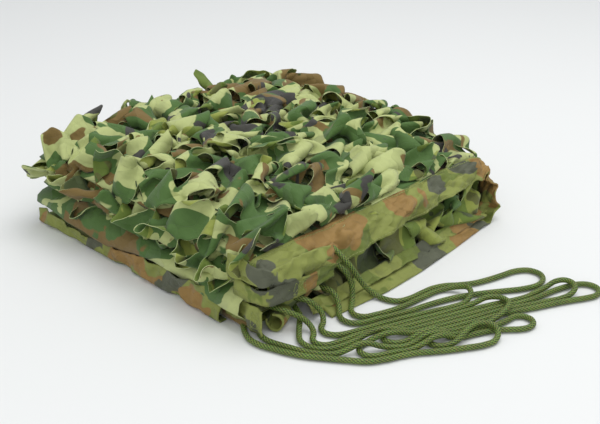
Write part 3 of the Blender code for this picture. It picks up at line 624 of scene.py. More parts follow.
def outside_pack(points, margin=0.0015):
    """Move points that have sunk into the pack out to its surface, a box with rounded
    edges and a domed top, and say which ones touch it. The cloth stops short of the
    tape on the right, lies low at the back right corner, and ends above the floor
    along the front, at a wavy hem."""
    local = points - PACK_CENTRE
    local[..., 2] -= swell(points[..., 0], points[..., 1]) * np.clip(
        points[..., 2] / FULL_SWELL_HEIGHT, 0, 1)
    beyond = np.abs(local) - (PACK_HALF - PACK_ROUNDING)
    out = np.maximum(beyond, 0)
    length = np.sqrt((out * out).sum(-1)) + 1e-9
    inside = np.minimum(beyond.max(-1), 0)
    distance = length + inside - PACK_ROUNDING
    deep = beyond.max(-1) < 0
    steepest = beyond == beyond.max(-1, keepdims=True)
    direction = np.where(deep[..., None], steepest, out / length[..., None]) * np.sign(local)
    short = np.clip(margin - distance, 0, None)
    moved = points + direction * short[..., None]
    above = np.clip((points[..., 2] - OVERHANG_FROM) / OVERHANG_RAMP, 0, 1)
    moved[..., 0] = np.clip(
        moved[..., 0], LEAVES_LEFT, CLOTH_RIGHT - TAPE_CLEARANCE + OVERHANG * above)
    moved[..., 1:] = np.clip(
        moved[..., 1:], (LEAVES_FRONT, LEAVES_FLOOR), (LEAVES_BACK, LEAVES_TOP))
    corner = np.clip((points[..., :2] - LOW_CORNER) / LOW_CORNER_RAMP, 0, 1).prod(-1)
    moved[..., 2] = np.minimum(moved[..., 2], LEAVES_TOP - LOW_CORNER_DROP * corner)
    in_front = np.clip((HEM_FROM - points[..., 1]) / HEM_RAMP, 0, 1)
    hem = HEM_HEIGHT + HEM_WAVE * np.sin(HEM_RATE * points[..., 0])
    moved[..., 2] = np.maximum(moved[..., 2], hem * in_front)
    return moved, (short > 0).astype(float)


def wrap_profile(front_low, back_low):
    """The line up the pack's front, over its top and down its back, with rounded
    corners, as (y, z) points 2 mm apart, and its outward direction at each."""
    front = PACK_CENTRE[1] - PACK_HALF[1]
    back = PACK_CENTRE[1] + PACK_HALF[1]
    top = PACK_CENTRE[2] + PACK_HALF[2]
    turn = np.linspace(0, np.pi / 2, 12)
    r = PACK_ROUNDING
    corner_front = np.stack([front + r - r * np.cos(turn), top - r + r * np.sin(turn)], 1)
    corner_back = np.stack([back - r + r * np.sin(turn), top - r + r * np.cos(turn)], 1)
    line = np.vstack([[(front, front_low)], corner_front, corner_back, [(back, back_low)]])
    line, _ = even_steps(line, 0.002)
    ahead = np.gradient(line, axis=0)
    ahead /= np.linalg.norm(ahead, axis=1)[:, None]
    return line, np.stack([-ahead[:, 1], ahead[:, 0]], 1)


def on_wrap(left, right, front_low, back_low, sink=0.0):
    """A function that places (u, v), from 0 to 1 across the pack and along the line
    round it, on the pack's surface, sunk by an amount."""
    line, normal = wrap_profile(front_low, back_low)
    reading = np.linspace(0, 1, len(line))

    def place(u, v):
        y, z = (np.interp(v, reading, line[:, k]) for k in (0, 1))
        out_y, out_z = (np.interp(v, reading, normal[:, k]) for k in (0, 1))
        x = left + (right - left) * u
        z = z + swell(x, y) * np.clip(z / FULL_SWELL_HEIGHT, 0, 1)
        outward = np.stack([np.zeros_like(x), out_y, out_z], -1)
        return np.stack([x, y, z], -1) - sink * outward, outward

    return place


WOODLAND = {
    "light": srgb(178, 187, 122),
    "green": srgb(72, 104, 44),
    "brown": srgb(118, 96, 46),
    "dark": srgb(60, 59, 54),
}
# The reverse's own paler print, brightened further as a painted glow of light shining through the
# thin cloth.
REVERSE_WITH_PAINTED_GLOW = {
    "light": srgb(142, 152, 68),
    "green": srgb(100, 120, 44),
    "brown": srgb(98, 102, 50),
    "dark": srgb(72, 84, 46),
}


# Large blobs of the print that cover several folds: the colour, the middle in metres,
# the reach, and how much more readily the colour prints there. Below zero it prints
# less.
PRINT_PATCHES = (
    ("brown", (-0.110, 0.100, 0.085), 0.15, 0.15), ("dark", (-0.050, 0.010, 0.09), 0.08, 0.17),
    ("brown", (-0.110, -0.165, 0.03), 0.10, 0.10), ("brown", (-0.010, -0.172, 0.018), 0.05, 0.20),
    ("green", (0.035, -0.172, 0.018), 0.03, -0.15), ("brown", (0.090, 0.040, 0.08), 0.12, -0.10),
    ("dark", (0.090, 0.060, 0.08), 0.10, -0.06), ("dark", (0.020, 0.060, 0.09), 0.05, 0.10),
    ("brown", (0.010, 0.150, 0.09), 0.06, 0.10),
)


def print_patch(nodes, links, middle, reach):
    """A soft ball of extra colour: 1 in the middle of the patch and 0 at its reach."""
    place = add_node(nodes, "TexCoord")
    centred = add_node(
        nodes, "Mapping", {"Location": middle, "Scale": (reach, reach, reach)},
        vector_type="TEXTURE")
    ball = add_node(nodes, "TexGradient", gradient_type="SPHERICAL")
    connect(links, (place, "Object", centred, "Vector"), (centred, "Vector", ball, "Vector"))
    return ball


def woodland_material(
        name, colours, scale, roughness, offset=(0.0, 0.0, 0.0), cover=None, sheen=0.1,
        facets=55, tilt=0.34, patches=()):
    """Printed camouflage on the cloth's flat positions: blobs of each colour where
    its own soft noise passes a level, printed one over the other. The bump is a fine
    weave, soft wrinkles, and small flats that each tilt their own way, as crumpled
    cloth has: height = (random vector of the cell) . (place - cell's middle)."""
    cover = cover or {"green": 0.50, "brown": 0.60, "dark": 0.635}
    material, nodes, links, shader = new_material(name, roughness, sheen)
    place = add_node(nodes, "UVMap", uv_map="UVMap")
    colour = None
    for number, blob in enumerate(("green", "brown", "dark")):
        centre = add_node(nodes, "Mapping", {
            "Location": (
                offset[0] + 3.7 * number, offset[1] - 2.9 * number, offset[2] + 1.3 * number),
            "Scale": (scale, scale * 1.35, scale)})
        noise = add_node(nodes, "TexNoise", {
            "Scale": 1.0, "Detail": 2.6, "Roughness": 0.5, "Distortion": 0.7})
        level = noise, "Fac"
        ramp = add_node(nodes, "ValToRGB")
        ramp.color_ramp.elements[0].position = cover[blob] - 0.004
        ramp.color_ramp.elements[1].position = cover[blob] + 0.004
        over = add_node(
            nodes, "Mix", {"A": colours["light"], "B": colours[blob]}, data_type="RGBA")
        if colour:
            connect(links, (colour, "Result", over, "A"))
        for patch_blob, middle, reach, weight in patches:
            if patch_blob == blob:
                more = add_node(nodes, "Math", {1: weight}, operation="MULTIPLY_ADD")
                ball = print_patch(nodes, links, middle, reach)
                connect(links, (ball, "Fac", more, 0), (*level, more, 2))
                level = more, "Value"
        connect(
            links, (place, "UV", centre, "Vector"), (centre, "Vector", noise, "Vector"),
            (*level, ramp, "Fac"), (ramp, "Color", over, "Factor"))
        colour = over
    fade = add_node(nodes, "TexNoise", {"Scale": 60, "Detail": 3})
    tone = add_node(nodes, "MapRange", {"To Min": 0.86, "To Max": 1.10})
    washed = add_node(nodes, "Mix", {"Factor": 1.0}, data_type="RGBA", blend_type="MULTIPLY")
    connect(
        links, (place, "UV", fade, "Vector"), (fade, "Fac", tone, "Value"),
        (colour, "Result", washed, "A"), (tone, "Result", washed, "B"),
        (washed, "Result", shader, "Base Color"))
    weave = add_node(nodes, "TexVoronoi", {"Scale": 1400})
    bend = add_node(nodes, "TexNoise", {"Scale": 60, "Detail": 1})
    bent = add_node(nodes, "VectorMath", {1: (0.010, 0.010, 0.0)}, operation="MULTIPLY_ADD")
    flats = add_node(nodes, "TexVoronoi", {"Scale": facets})
    away = add_node(nodes, "VectorMath", operation="SUBTRACT")
    lean = add_node(
        nodes, "VectorMath", {1: (2 * tilt, 2 * tilt, 0.0), 2: (-tilt, -tilt, 0.0)},
        operation="MULTIPLY_ADD")
    flat_height = add_node(nodes, "VectorMath", operation="DOT_PRODUCT")
    long = add_node(nodes, "Mapping", {"Rotation": (0, 0, 0.5), "Scale": (60, 240, 1)})
    wrinkle = add_node(nodes, "TexNoise", {"Scale": 1, "Detail": 3})
    with_wrinkles = add_node(nodes, "Math", {1: 0.0008}, operation="MULTIPLY_ADD")
    relief = add_node(nodes, "Math", {1: 0.00012}, operation="MULTIPLY_ADD")
    bump = add_node(nodes, "Bump", {"Strength": 0.9, "Distance": 1.0})
    connect(
        links, (place, "UV", weave, "Vector"), (place, "UV", bend, "Vector"),
        (bend, "Color", bent, 0), (place, "UV", bent, 2), (bent, "Vector", flats, "Vector"),
        (bent, "Vector", away, 0), (flats, "Position", away, 1), (flats, "Color", lean, 0),
        (lean, "Vector", flat_height, 0), (away, "Vector", flat_height, 1),
        (place, "UV", long, "Vector"), (long, "Vector", wrinkle, "Vector"),
        (wrinkle, "Fac", with_wrinkles, 0), (flat_height, "Value", with_wrinkles, 2),
        (weave, "Distance", relief, 0), (with_wrinkles, "Value", relief, 2),
        (relief, "Value", bump, "Height"), (bump, "Normal", shader, "Normal"))
    return material


def cut_edge_material():
    """The pale heat-cut edge of the cloth."""
    material, nodes, links, shader = new_material("cut_edge", 0.7)
    place = add_node(nodes, "TexCoord")
    noise = add_node(nodes, "TexNoise", {"Scale": 80})
    ramp = add_node(nodes, "ValToRGB")
    ramp.color_ramp.elements[0].color = srgb(150, 165, 105)
    ramp.color_ramp.elements[1].color = srgb(214, 222, 168)
    connect(
        links, (place, "Object", noise, "Vector"), (noise, "Fac", ramp, "Fac"),
        (ramp, "Color", shader, "Base Color"))
    return material


printed = woodland_material("woodland_print", WOODLAND, 16.0, 0.78, patches=PRINT_PATCHES)
# The reverse: a paler print, with a painted glow of light through the cloth.
reverse = woodland_material("woodland_reverse_painted_glow", REVERSE_WITH_PAINTED_GLOW, 16.0, 0.82)
cut_edge = cut_edge_material()


def slit_cloth_piece(
        name, cloth, ribbons=slice(None), flat_origin=(0.0, 0.0), smoothed=True):
    """Turn settled slit cloth, or some of its ribbons, into a piece: smoothed once where
    smoothed is set, with a printed face, a paler reverse that also carries a painted glow
    of light shining through the cloth, and a cut edge."""
    points, faces, flat = cloth.mesh(ribbons)
    piece = add_piece(
        name, points, faces, (printed, reverse, cut_edge),
        uv=flat + np.array(flat_origin), replaces=("garnish",))
    if smoothed:
        smooth = piece.modifiers.new("smooth", "SUBSURF")
        smooth.levels = 1
        smooth.render_levels = 1
    give_wall(piece, CLOTH_THICKNESS, cut_rim=True)
    return piece


outer = SlitCloth(ribbons=19, columns=130, seed=11)
outer.settle(
    on_wrap(-0.168, 0.1445, 0.038, 0.012), outside_pack, FALL_PER_STEP, height=0.006,
    lean=1.25)
slit_cloth_piece("garnish_front_leaves", outer, slice(0, 9))
slit_cloth_piece("garnish_back_leaves", outer, slice(9, 19))


def deeper_in_pack(points):
    """As outside_pack, for the cloth below, which may sink 9 mm into the pack."""
    return outside_pack(points, -0.009)


under = SlitCloth(ribbons=17, columns=96, seed=12)
under.settle(
    on_wrap(-0.164, 0.136, 0.030, 0.016, sink=0.009), deeper_in_pack, FALL_PER_STEP * 3,
    height=0.001, lean=0.5)
slit_cloth_piece("garnish_under_leaves", under, flat_origin=(1.7, 0.2), smoothed=False)


# ---------------------------------------------------------------------------
# Inner folds: the rest of the same printed cloth. It is the floor layer, goes up the
# back and over the top below the leaves, and is folded back and forth between the two.
# It shows below the leaves and at the sides.
# ---------------------------------------------------------------------------
# One row for each layer: its front end and its back end as y and z, and how far the
# fold after it stands out. All in millimetres.
FOLD_LEVELS = (
    (-150, 0.6, 150, 0.6, 16), (-152, 58, 150, 61, 8), (-152, 50.5, 138, 54, 6),
    (-152, 45, 138, 41, 8), (-152, 35, 140, 36, 5), (-152, 32, 140, 24, 19),
    (-152, 11.5, 141, 20, 5), (-150, 8.5, 141, 9, 14), (-149, 3.5, 135, 4.8, 0),
)


def fold_line():
    """The cloth's line seen from its end: straight layers that run back and forth,
    joined by folds of two quarter ellipses, as (y, z) points."""
    line = []
    turn = np.linspace(0, np.pi / 2, 9)
    for number, (front_y, front_z, back_y, back_z, bulge) in enumerate(FOLD_LEVELS):
        ends = np.array([(front_y, front_z), (back_y, back_z)]) * MM
        backwards = number % 2 == 0
        start, end = (ends[0], ends[1]) if backwards else (ends[1], ends[0])
        line.append(start + (end - start) * np.linspace(0, 1, 31)[:, None])
        if number + 1 == len(FOLD_LEVELS):
            break
        after = FOLD_LEVELS[number + 1]
        following = np.array(after[2:4] if backwards else after[0:2]) * MM
        out = bulge * MM * (1 if backwards else -1)
        rise = following[1] - end[1]
        corner = np.sign(rise) * min(abs(rise) / 2, bulge * MM)
        first = np.stack([end[0] + out * np.sin(turn), end[1] + corner * (1 - np.cos(turn))], 1)
        last = np.stack([
            following[0] + out * np.cos(turn), following[1] - corner * (1 - np.sin(turn))], 1)
        line += [first[1:], last[:-1]]
    return np.vstack(line)


def crinkle(along, across, seed, waves=9, shortest=0.012, longest=0.07):
    """Soft creases from 0 to 1: the mean of ridged waves, 1 - |sin|, whose directions,
    lengths and places are drawn at random, the long ones counting most."""
    draw = np.random.default_rng(seed)
    total, weight = 0.0, 0.0
    for _ in range(waves):
        angle = draw.uniform(0, np.pi)
        length = np.exp(draw.uniform(np.log(shortest), np.log(longest)))
        bend = 0.4 * np.sin(2 * np.pi * (along * 0.7 + across) / (3 * length) + draw.uniform(0, 6))
        reading = np.pi * (along * np.cos(angle) + across * np.sin(angle)) / length
        total = total + (1 - np.abs(np.sin(reading + bend + draw.uniform(0, 6)))) * length
        weight += length
    return total / weight


def inner_folds():
    """The fold line carried across the pack, a point about every 8 mm each way, and
    raised by the pack's swell. Past the floor layer, creases and waves move it in and
    out of its own surface."""
    line, along = even_steps(fold_line(), 0.0085)
    ahead = np.gradient(line, axis=0)
    ahead /= np.linalg.norm(ahead, axis=1)[:, None]
    across = np.linspace(CLOTH_LEFT, CLOTH_RIGHT, 39)
    crease = crinkle(along[:, None], across[None, :], seed=5) - 0.36
    free = np.clip((along - 0.30) / 0.03, 0, 1)[:, None]
    lift = 0.0045 * crease * free
    wave = 0.0030 * np.sin(across * 31 + 0.6)[None, :] * np.sin(along * 9)[:, None] * free
    y = line[:, None, 0] + ahead[:, None, 1] * (lift + wave)
    z = line[:, None, 1] - ahead[:, None, 0] * (lift + wave)
    x = np.broadcast_to(across, y.shape)
    z = np.maximum(z + swell(x, y) * np.clip((z - 0.010) / 0.055, 0, 1), 0.0009)
    piece = add_piece(
        "garnish_folds", np.stack([x, y, z], -1), grid_faces(*y.shape)[:, ::-1],
        (printed, reverse, cut_edge),
        uv=np.stack(np.broadcast_arrays(across[None, :], along[:, None] + 1.0), -1),
        replaces=("garnish",))
    give_wall(piece, CLOTH_THICKNESS, cut_rim=True)
    return piece, float(along[-1]), line, along


garnish_folds, folds_length, folds_line, folds_along = inner_folds()


# ---------------------------------------------------------------------------
# Side leaves: the cut ends of the inner layers, pushed out between the folds. They
# stand on edge in the open right side, and cover the left side.
# ---------------------------------------------------------------------------
def on_side(x, outward_x, y_from, y_to, z_from, z_to, upright=False):
    """A function that places (u, v) on an upright side of the pack, a little bowed.
    Ribbons run along the side, or up it where upright."""
    def place(u, v):
        if upright:
            u, v = v, u
        y = y_from + (y_to - y_from) * u
        z = z_from + (z_to - z_from) * v
        out = np.zeros(u.shape + (3,))
        out[..., 0] = outward_x
        bow = 0.003 * np.sin(9 * u) * np.sin(np.pi * v)
        return np.stack([np.full_like(u, x) + bow, y, z], -1), out
    return place


def between(x_in, x_out, y_low, y_high, z_low, z_high):
    """A function that keeps points between the pack's side and an outer limit, which
    on the right leans in under the tape from 14 mm up."""
    low = np.array([min(x_in, x_out), y_low, z_low])
    high = np.array([max(x_in, x_out), y_high, z_high])

    def keep(points):
        moved = np.clip(points, low, high)
        under_tape = high[0] - 0.38 * np.clip(moved[..., 2] - 0.014, 0, None)
        if x_out > 0:
            moved[..., 0] = np.minimum(moved[..., 0], under_tape)
        return moved, (moved != points).any(-1).astype(float)
    return keep


right_leaves_cloth = SlitCloth(ribbons=14, columns=16, seed=21)
right_leaves_cloth.settle(
    on_side(0.150, 1.0, -0.140, 0.146, 0.010, 0.056, upright=True),
    between(0.141, 0.169, -0.146, 0.154, 0.008, 0.062), FALL_PER_STEP, height=0.004)
slit_cloth_piece("right_side_leaves", right_leaves_cloth, flat_origin=(0.9, 0.4))

left_leaves_cloth = SlitCloth(ribbons=5, columns=96, seed=22)
left_leaves_cloth.settle(
    on_side(-0.160, -1.0, 0.150, -0.140, 0.008, 0.080),
    between(-0.158, -0.173, -0.150, 0.156, 0.004, 0.086), FALL_PER_STEP, height=0.003)
slit_cloth_piece("left_side_leaves", left_leaves_cloth, flat_origin=(0.3, 1.4))


# ---------------------------------------------------------------------------
# Netting: dark green string that carries the leaves, in zigzags 44 mm apart round the
# pack. Short runs of it show in the gaps between them.
# ---------------------------------------------------------------------------
STRING_DIAMETER = 0.0013
STRING_COUNT = 7
ZIGZAG_COUNT = 9
string_material, *_, string_shader = new_material("netting_string", 0.7)
string_shader.inputs["Base Color"].default_value = srgb(44, 66, 34)


def tubes(lines, diameter, sides=6):
    """Points and faces of a round tube along each line."""
    turn = np.arange(sides) * 2 * np.pi / sides
    points, faces, first = [], [], 0
    for line in lines:
        side, up = tube_frames(line)
        ring = np.cos(turn)[:, None] * side[:, None] + np.sin(turn)[:, None] * up[:, None]
        points.append((line[:, None] + diameter / 2 * ring).reshape(-1, 3))
        faces.append(grid_faces(len(line), sides, closed=True) + first)
        first += len(line) * sides
    return np.vstack(points), np.vstack(faces)


def netting_lines():
    """Zigzag strings side by side round the pack: u = u0 + 0.7 of a string's share of
    the width x a triangle wave of v, with a little slack. Neighbours turn towards each
    other where a knot would be, and stay about 13 mm apart there."""
    place = on_wrap(CLOTH_LEFT, CLOTH_RIGHT, 0.024, 0.012)
    draw = np.random.default_rng(61)
    v = np.linspace(0.005, 0.995, 260)
    lines = []
    for number in range(STRING_COUNT):
        zigzag = np.abs((v * ZIGZAG_COUNT) % 1 * 2 - 1)
        if number % 2:
            zigzag = 1 - zigzag
        u = (number + 0.15 + 0.7 * zigzag) / STRING_COUNT
        u = np.clip(u + 0.010 * np.sin(v * 31 + draw.uniform(0, 6)), 0.005, 0.995)
        base, outward = place(u, v)
        height = 0.0005 + 0.003 * np.sin(v * draw.uniform(25, 40) + draw.uniform(0, 6))
        lines.append(base + outward * height[:, None])
    return lines


netting_points, netting_faces = tubes(netting_lines(), STRING_DIAMETER)
add_piece(
    "netting_strings", netting_points, netting_faces, (string_material,),
    replaces=("garnish",))


# ---------------------------------------------------------------------------
# Side binding: 28 mm woven tape in the same print, with the crumpled edge of cloth
# that it is sewn to, 42 mm in all. Along the top it hangs over the pack's right side;
# along the floor it lies nearly flat. The next layer's taped edge shows between.
# ---------------------------------------------------------------------------
TAPE_THICKNESS = 0.0012
TAPE_WIDTH = 0.028
# The tape with its edge of cloth, laid flat, and where along the folds it begins.
SIDE_TAPE_WIDTH = 0.042
SIDE_TAPE_LENGTH = 0.642
SIDE_TAPE_START = 0.050
TAPE_PRINT = {
    "light": srgb(134, 142, 68),
    "green": srgb(106, 120, 47),
    "brown": srgb(150, 118, 62),
    "dark": srgb(86, 90, 70),
}
# Blobs of the tape's print, given as the cloth's are.
TAPE_PATCHES = (
    ("brown", (0.155, -0.082, 0.060), 0.030, 0.42), ("brown", (0.152, -0.040, 0.066), 0.034, 0.46),
    ("brown", (0.150, 0.018, 0.070), 0.030, 0.42), ("green", (0.150, 0.000, 0.072), 0.022, -0.30),
    ("brown", (0.150, 0.090, 0.064), 0.036, -0.30), ("dark", (0.150, 0.082, 0.070), 0.028, 0.46),
    ("dark", (0.146, 0.124, 0.070), 0.024, 0.40), ("dark", (0.150, 0.145, 0.062), 0.030, 0.18),
    ("brown", (0.158, 0.165, 0.040), 0.034, 0.18), ("brown", (0.166, 0.000, 0.042), 0.050, -0.30),
    ("dark", (0.166, 0.000, 0.042), 0.045, -0.30), ("dark", (0.177, 0.044, 0.008), 0.028, 0.40),
    ("dark", (0.181, -0.006, 0.004), 0.030, -0.30), ("brown", (0.176, 0.116, 0.010), 0.034, 0.36),
    ("brown", (0.178, 0.052, 0.006), 0.034, -0.30), ("brown", (0.180, -0.010, 0.003), 0.050, -0.25),
    ("brown", (-0.020, -0.168, 0.008), 0.030, 0.16), ("brown", (0.082, -0.172, 0.014), 0.022, 0.22),
    ("dark", (0.045, -0.172, 0.010), 0.034, 0.14), ("brown", (0.150, -0.160, 0.058), 0.045, -0.25),
    ("dark", (0.156, -0.158, 0.061), 0.024, 0.38), ("dark", (0.140, -0.167, 0.037), 0.024, -0.30),
    ("dark", (0.166, -0.142, 0.036), 0.020, 0.40), ("brown", (0.166, -0.114, 0.036), 0.021, 0.44),
    ("brown", (0.166, -0.094, 0.036), 0.018, -0.2), ("brown", (0.145, -0.167, 0.017), 0.034, -0.30),
)
tape_print = woodland_material(
    "tape_print", TAPE_PRINT, 18.0, 0.7, (4.0, 7.0, 0.0),
    {"green": 0.55, "brown": 0.61, "dark": 0.63}, 0.05, 95, 0.62, TAPE_PATCHES)

# How far out the tape's edge lies on the floor, and how long it hangs below the
# ridge along the top, at places from front to back. All in millimetres.
FLOOR_EDGE = (
    (-150, 172), (-110, 179), (-80, 181), (-55, 183), (-30, 185), (20, 183), (80, 177),
    (135, 170), (170, 168))
HANG_LENGTH = ((-120, 22), (-46, 20), (11, 16), (75, 12), (130, 8), (170, 8))
TOP_STRIP = 0.0185


def tape_piece(name, points, along, across, replaces, thickness=TAPE_THICKNESS):
    """A tape from a grid of points, along it and across it, given a wall."""
    uv = np.stack(np.broadcast_arrays(across[None, :], along[:, None] * 0.6), -1)
    piece = add_piece(
        name, points, grid_faces(*points.shape[:2]), (tape_print,), uv=uv, replaces=replaces)
    give_wall(piece, thickness)
    return piece


def side_binding():
    """The tape's cross-section changes along its run: on the floor it swells and
    comes down to a clean edge, at the back fold it stands straight out, and along the
    top a sloping strip bends down into a hanging one. Creases move it square to
    itself, least at the seam; at the back fold they are deep and pointed."""
    first = np.searchsorted(folds_along, SIDE_TAPE_START)
    last = np.searchsorted(folds_along, SIDE_TAPE_START + SIDE_TAPE_LENGTH)
    line, along = even_steps(folds_line[first:last], 0.0022)
    ahead = np.gradient(line, axis=0)
    ahead /= np.linalg.norm(ahead, axis=1)[:, None]
    normal = np.stack([ahead[:, 1], -ahead[:, 0]], 1)
    along = along[:, None]
    share = np.linspace(0, 1, 30)[None, :]
    on_top = np.clip((line[:, 1:] - 0.030) / 0.026, 0, 1)
    on_floor = np.clip((0.030 - line[:, 1:]) / 0.026, 0, 1)
    at_back = 1 - on_top - on_floor

    edge_y, edge_x = np.transpose(FLOOR_EDGE) * MM
    floor_out = (np.interp(line[:, :1], edge_y, edge_x) - 0.1395) * share
    floor_drop = 0.0060 * np.sin(np.pi * share) * np.clip((line[:, :1] + 0.145) / 0.04, 0.2, 1)
    hang_y, hang = np.transpose(HANG_LENGTH) * MM
    width = TOP_STRIP + np.interp(line[:, :1], hang_y, hang)
    ridge = np.clip((share - TOP_STRIP / width) / 0.12 + 0.5, 0, 1)
    turn = np.radians(20 + 56 * ridge**2 * (3 - 2 * ridge))
    turn = turn * (1 + 0.08 * np.sin(along * 130) + 0.06 * np.sin(along * 57 + 1))
    step = width / (share.shape[1] - 1)
    top_out = np.cumsum(np.cos(turn) * step, 1) - step
    top_drop = np.cumsum(np.sin(turn) * step, 1) - np.sin(turn[:, :1]) * step
    out = on_floor * floor_out + at_back * TAPE_WIDTH * share + on_top * top_out
    drop = on_floor * floor_drop + at_back * 0.004 * share + on_top * top_drop

    crease = crinkle(along, 0.045 * share, seed=31, shortest=0.010, longest=0.045)
    depth = 0.0110 - 0.0070 * on_floor
    bump = depth * (crease - 0.38) * np.clip(share * 4, 0, 1)
    out = out + on_top * bump * np.sin(turn)
    point = (1 - np.abs(np.sin(np.pi * along / 0.023 + 0.6))) ** 1.6
    corner = np.clip((line[:, :1] - 0.125) / 0.030, 0, 1)
    drop = drop - bump * (1 - on_top + on_top * np.cos(turn))
    drop = np.maximum(drop, 0) - 0.0100 * (point - 0.3) * share**1.3 * corner
    lap = (0.0008 * np.clip(1 - share * 12, 0, 1) - 0.0052 + 0.0025 * share) * on_top
    x = 0.1392 + 0.0010 * np.sin(along * 61) * on_top + out
    y = line[:, :1] - normal[:, :1] * (drop + lap)
    z = np.maximum(line[:, 1:] - normal[:, 1:] * (drop + lap), 0.0009)
    points = np.stack(np.broadcast_arrays(x, y, z), -1)
    piece = tape_piece(
        "side_binding_tape", points, along[:, 0], SIDE_TAPE_WIDTH * share[0],
        ("side_binding",))
    return piece, points


SECOND_EDGE_LENGTH = 0.262
SECOND_EDGE_WIDTH = 0.013


def second_edge():
    """The edge of the next layer's tape, that comes out between the side leaves and
    the floor tape: a slope that falls outwards at 19 to 47 degrees, with creases."""
    along = np.linspace(0, SECOND_EDGE_LENGTH, 130)
    across = np.linspace(0, SECOND_EDGE_WIDTH, 10)
    y = (-0.112 + along)[:, None]
    crease = crinkle(along[:, None], across[None, :], seed=35, shortest=0.012, longest=0.05)
    slope = np.radians(33 + 9 * np.sin(along * 38 + 1) + 5 * np.sin(along * 91))[:, None]
    bump = 0.0080 * (crease - 0.38)
    base_x = 0.1605 + 0.0015 * np.sin(along * 25)[:, None] - 0.07 * np.clip(y - 0.04, 0, None)
    x = base_x + across[None, :] * np.cos(slope) + bump * np.sin(slope)
    z = 0.0140 - across[None, :] * np.sin(slope) + bump * np.cos(slope)
    points = np.stack(np.broadcast_arrays(x, y, z), -1)
    piece = tape_piece("second_edge_tape", points, along + 0.9, across, ("side_binding",))


side_tape, side_surface = side_binding()
second_edge()


# ---------------------------------------------------------------------------
# End binding: the same tape on the floor layer's front end, rumpled and turned up
# along its outer edge.
# ---------------------------------------------------------------------------
END_TAPE_LENGTH = 0.283
END_TAPE_WIDTH = 0.036


def end_binding():
    """A flat margin, then a part that stands up: 12 mm high at the left and 25 mm at
    the right. Its slope and its edge wander."""
    along = np.linspace(0, END_TAPE_LENGTH, 150)
    across = np.linspace(0, END_TAPE_WIDTH, 25)
    x = (CLOTH_LEFT + along)[:, None]
    crease = crinkle(along[:, None], across[None, :], seed=41, shortest=0.010, longest=0.04)
    more = np.clip((x + 0.060) / 0.150, 0, 1)
    upright = 0.012 + 0.013 * more**2 * (3 - 2 * more) + 0.002 * np.sin(x * 47 + 2.2)
    bend = np.clip((across[None, :] - (END_TAPE_WIDTH - upright)) / 0.006 + 0.5, 0, 1)
    slope = np.radians(92) * bend * (1 + 0.10 * np.sin(x * 70) + 0.08 * np.sin(x * 163 + 2))
    step = across[1]
    out = np.cumsum(np.cos(slope) * step, 1) - step
    rise = np.cumsum(np.sin(slope) * step, 1)
    bump = 0.0120 * (crease - 0.38) * bend
    edge = -0.1680 - 0.0045 * more
    y = edge + (out.max(1, keepdims=True) - out) - bump * np.sin(slope)
    z = np.maximum(0.0008 + rise + bump * np.cos(slope), 0.0008)
    points = np.stack(np.broadcast_arrays(x, y, z), -1)
    return tape_piece("end_binding_tape", points, along, across, ("end_binding",))


end_tape = end_binding()


# ---------------------------------------------------------------------------
# Corner tabs: three of the cloth's corners, folded into doubled tape that turns round
# the front right corner.
# ---------------------------------------------------------------------------
TAB_THICKNESS = 0.0018
# Each tab's width and bow, the share by which its crumpled cloth spreads wider, and
# its (x, y, z) points. All but the share are in millimetres.
TAB_ROUTES = (
    ("corner_tab_upper", 17, 0.8, 0.0, (
        (124, -166.9, 58), (146, -167.1, 57.5), (158, -166.2, 57), (164.6, -161, 56.5),
        (167.2, -152, 56), (167.4, -128, 55.5), (167.2, -104, 55), (167, -84, 54.5))),
    ("corner_tab_middle", 16, 0.8, 0.0, (
        (130, -165.1, 37.5), (148, -165.6, 37.5), (158, -164.2, 37.5), (164, -159, 37.5),
        (166, -150, 37), (166.2, -128, 36), (166, -104, 35.4), (165.6, -81, 35))),
    ("corner_tab_lower", 18, 1.0, 0.25, (
        (116, -164.2, 18.5), (130, -164.5, 18.2), (144, -165.4, 17.6), (154, -167, 16.8),
        (164, -167.4, 16.2))),
)


def corner_tab(name, width, bow, wider, route, seed):
    """An upright strip along its route, bowed across its width by a parabola, with
    creases that move it in and out."""
    line, along = even_steps(smooth_route(np.array(route) * MM, 12), 0.0016)
    ahead = np.gradient(line, axis=0)
    level = np.stack([ahead[:, 1], -ahead[:, 0], 0 * ahead[:, 0]], 1)
    level /= np.linalg.norm(level, axis=1)[:, None]
    across = np.linspace(-0.5, 0.5, 12) * width * MM
    share = across / (width * MM)
    crease = crinkle(along[:, None], across[None, :], seed, shortest=0.008, longest=0.03)
    out = bow * MM * (1 - (2 * share) ** 2) - bow * MM + 0.0100 * (crease - 0.38)
    edge = 1 + 0.14 * np.sin(along * 90 + seed)[:, None] + 0.08 * np.sin(along * 210)[:, None]
    edge = edge + wider
    points = (
        line[:, None] + level[:, None] * out[..., None]
        + (across[None, :] * edge)[..., None] * np.array([0.0, 0.0, 1.0]))
    piece = tape_piece(
        name + "_tape", points, along, across + 0.1 * seed, (name,), TAB_THICKNESS)
    return points


tabs = {
    name: corner_tab(name, width, bow, wider, route, seed)
    for seed, (name, width, bow, wider, route) in enumerate(TAB_ROUTES, 51)
}


# ---------------------------------------------------------------------------
# Corner roll: the last corner, curled into a short open roll on the floor.
# ---------------------------------------------------------------------------
ROLL_LENGTH = 0.022
ROLL_RADIUS = 0.0076
ROLL_START, ROLL_TURN = 75, 300


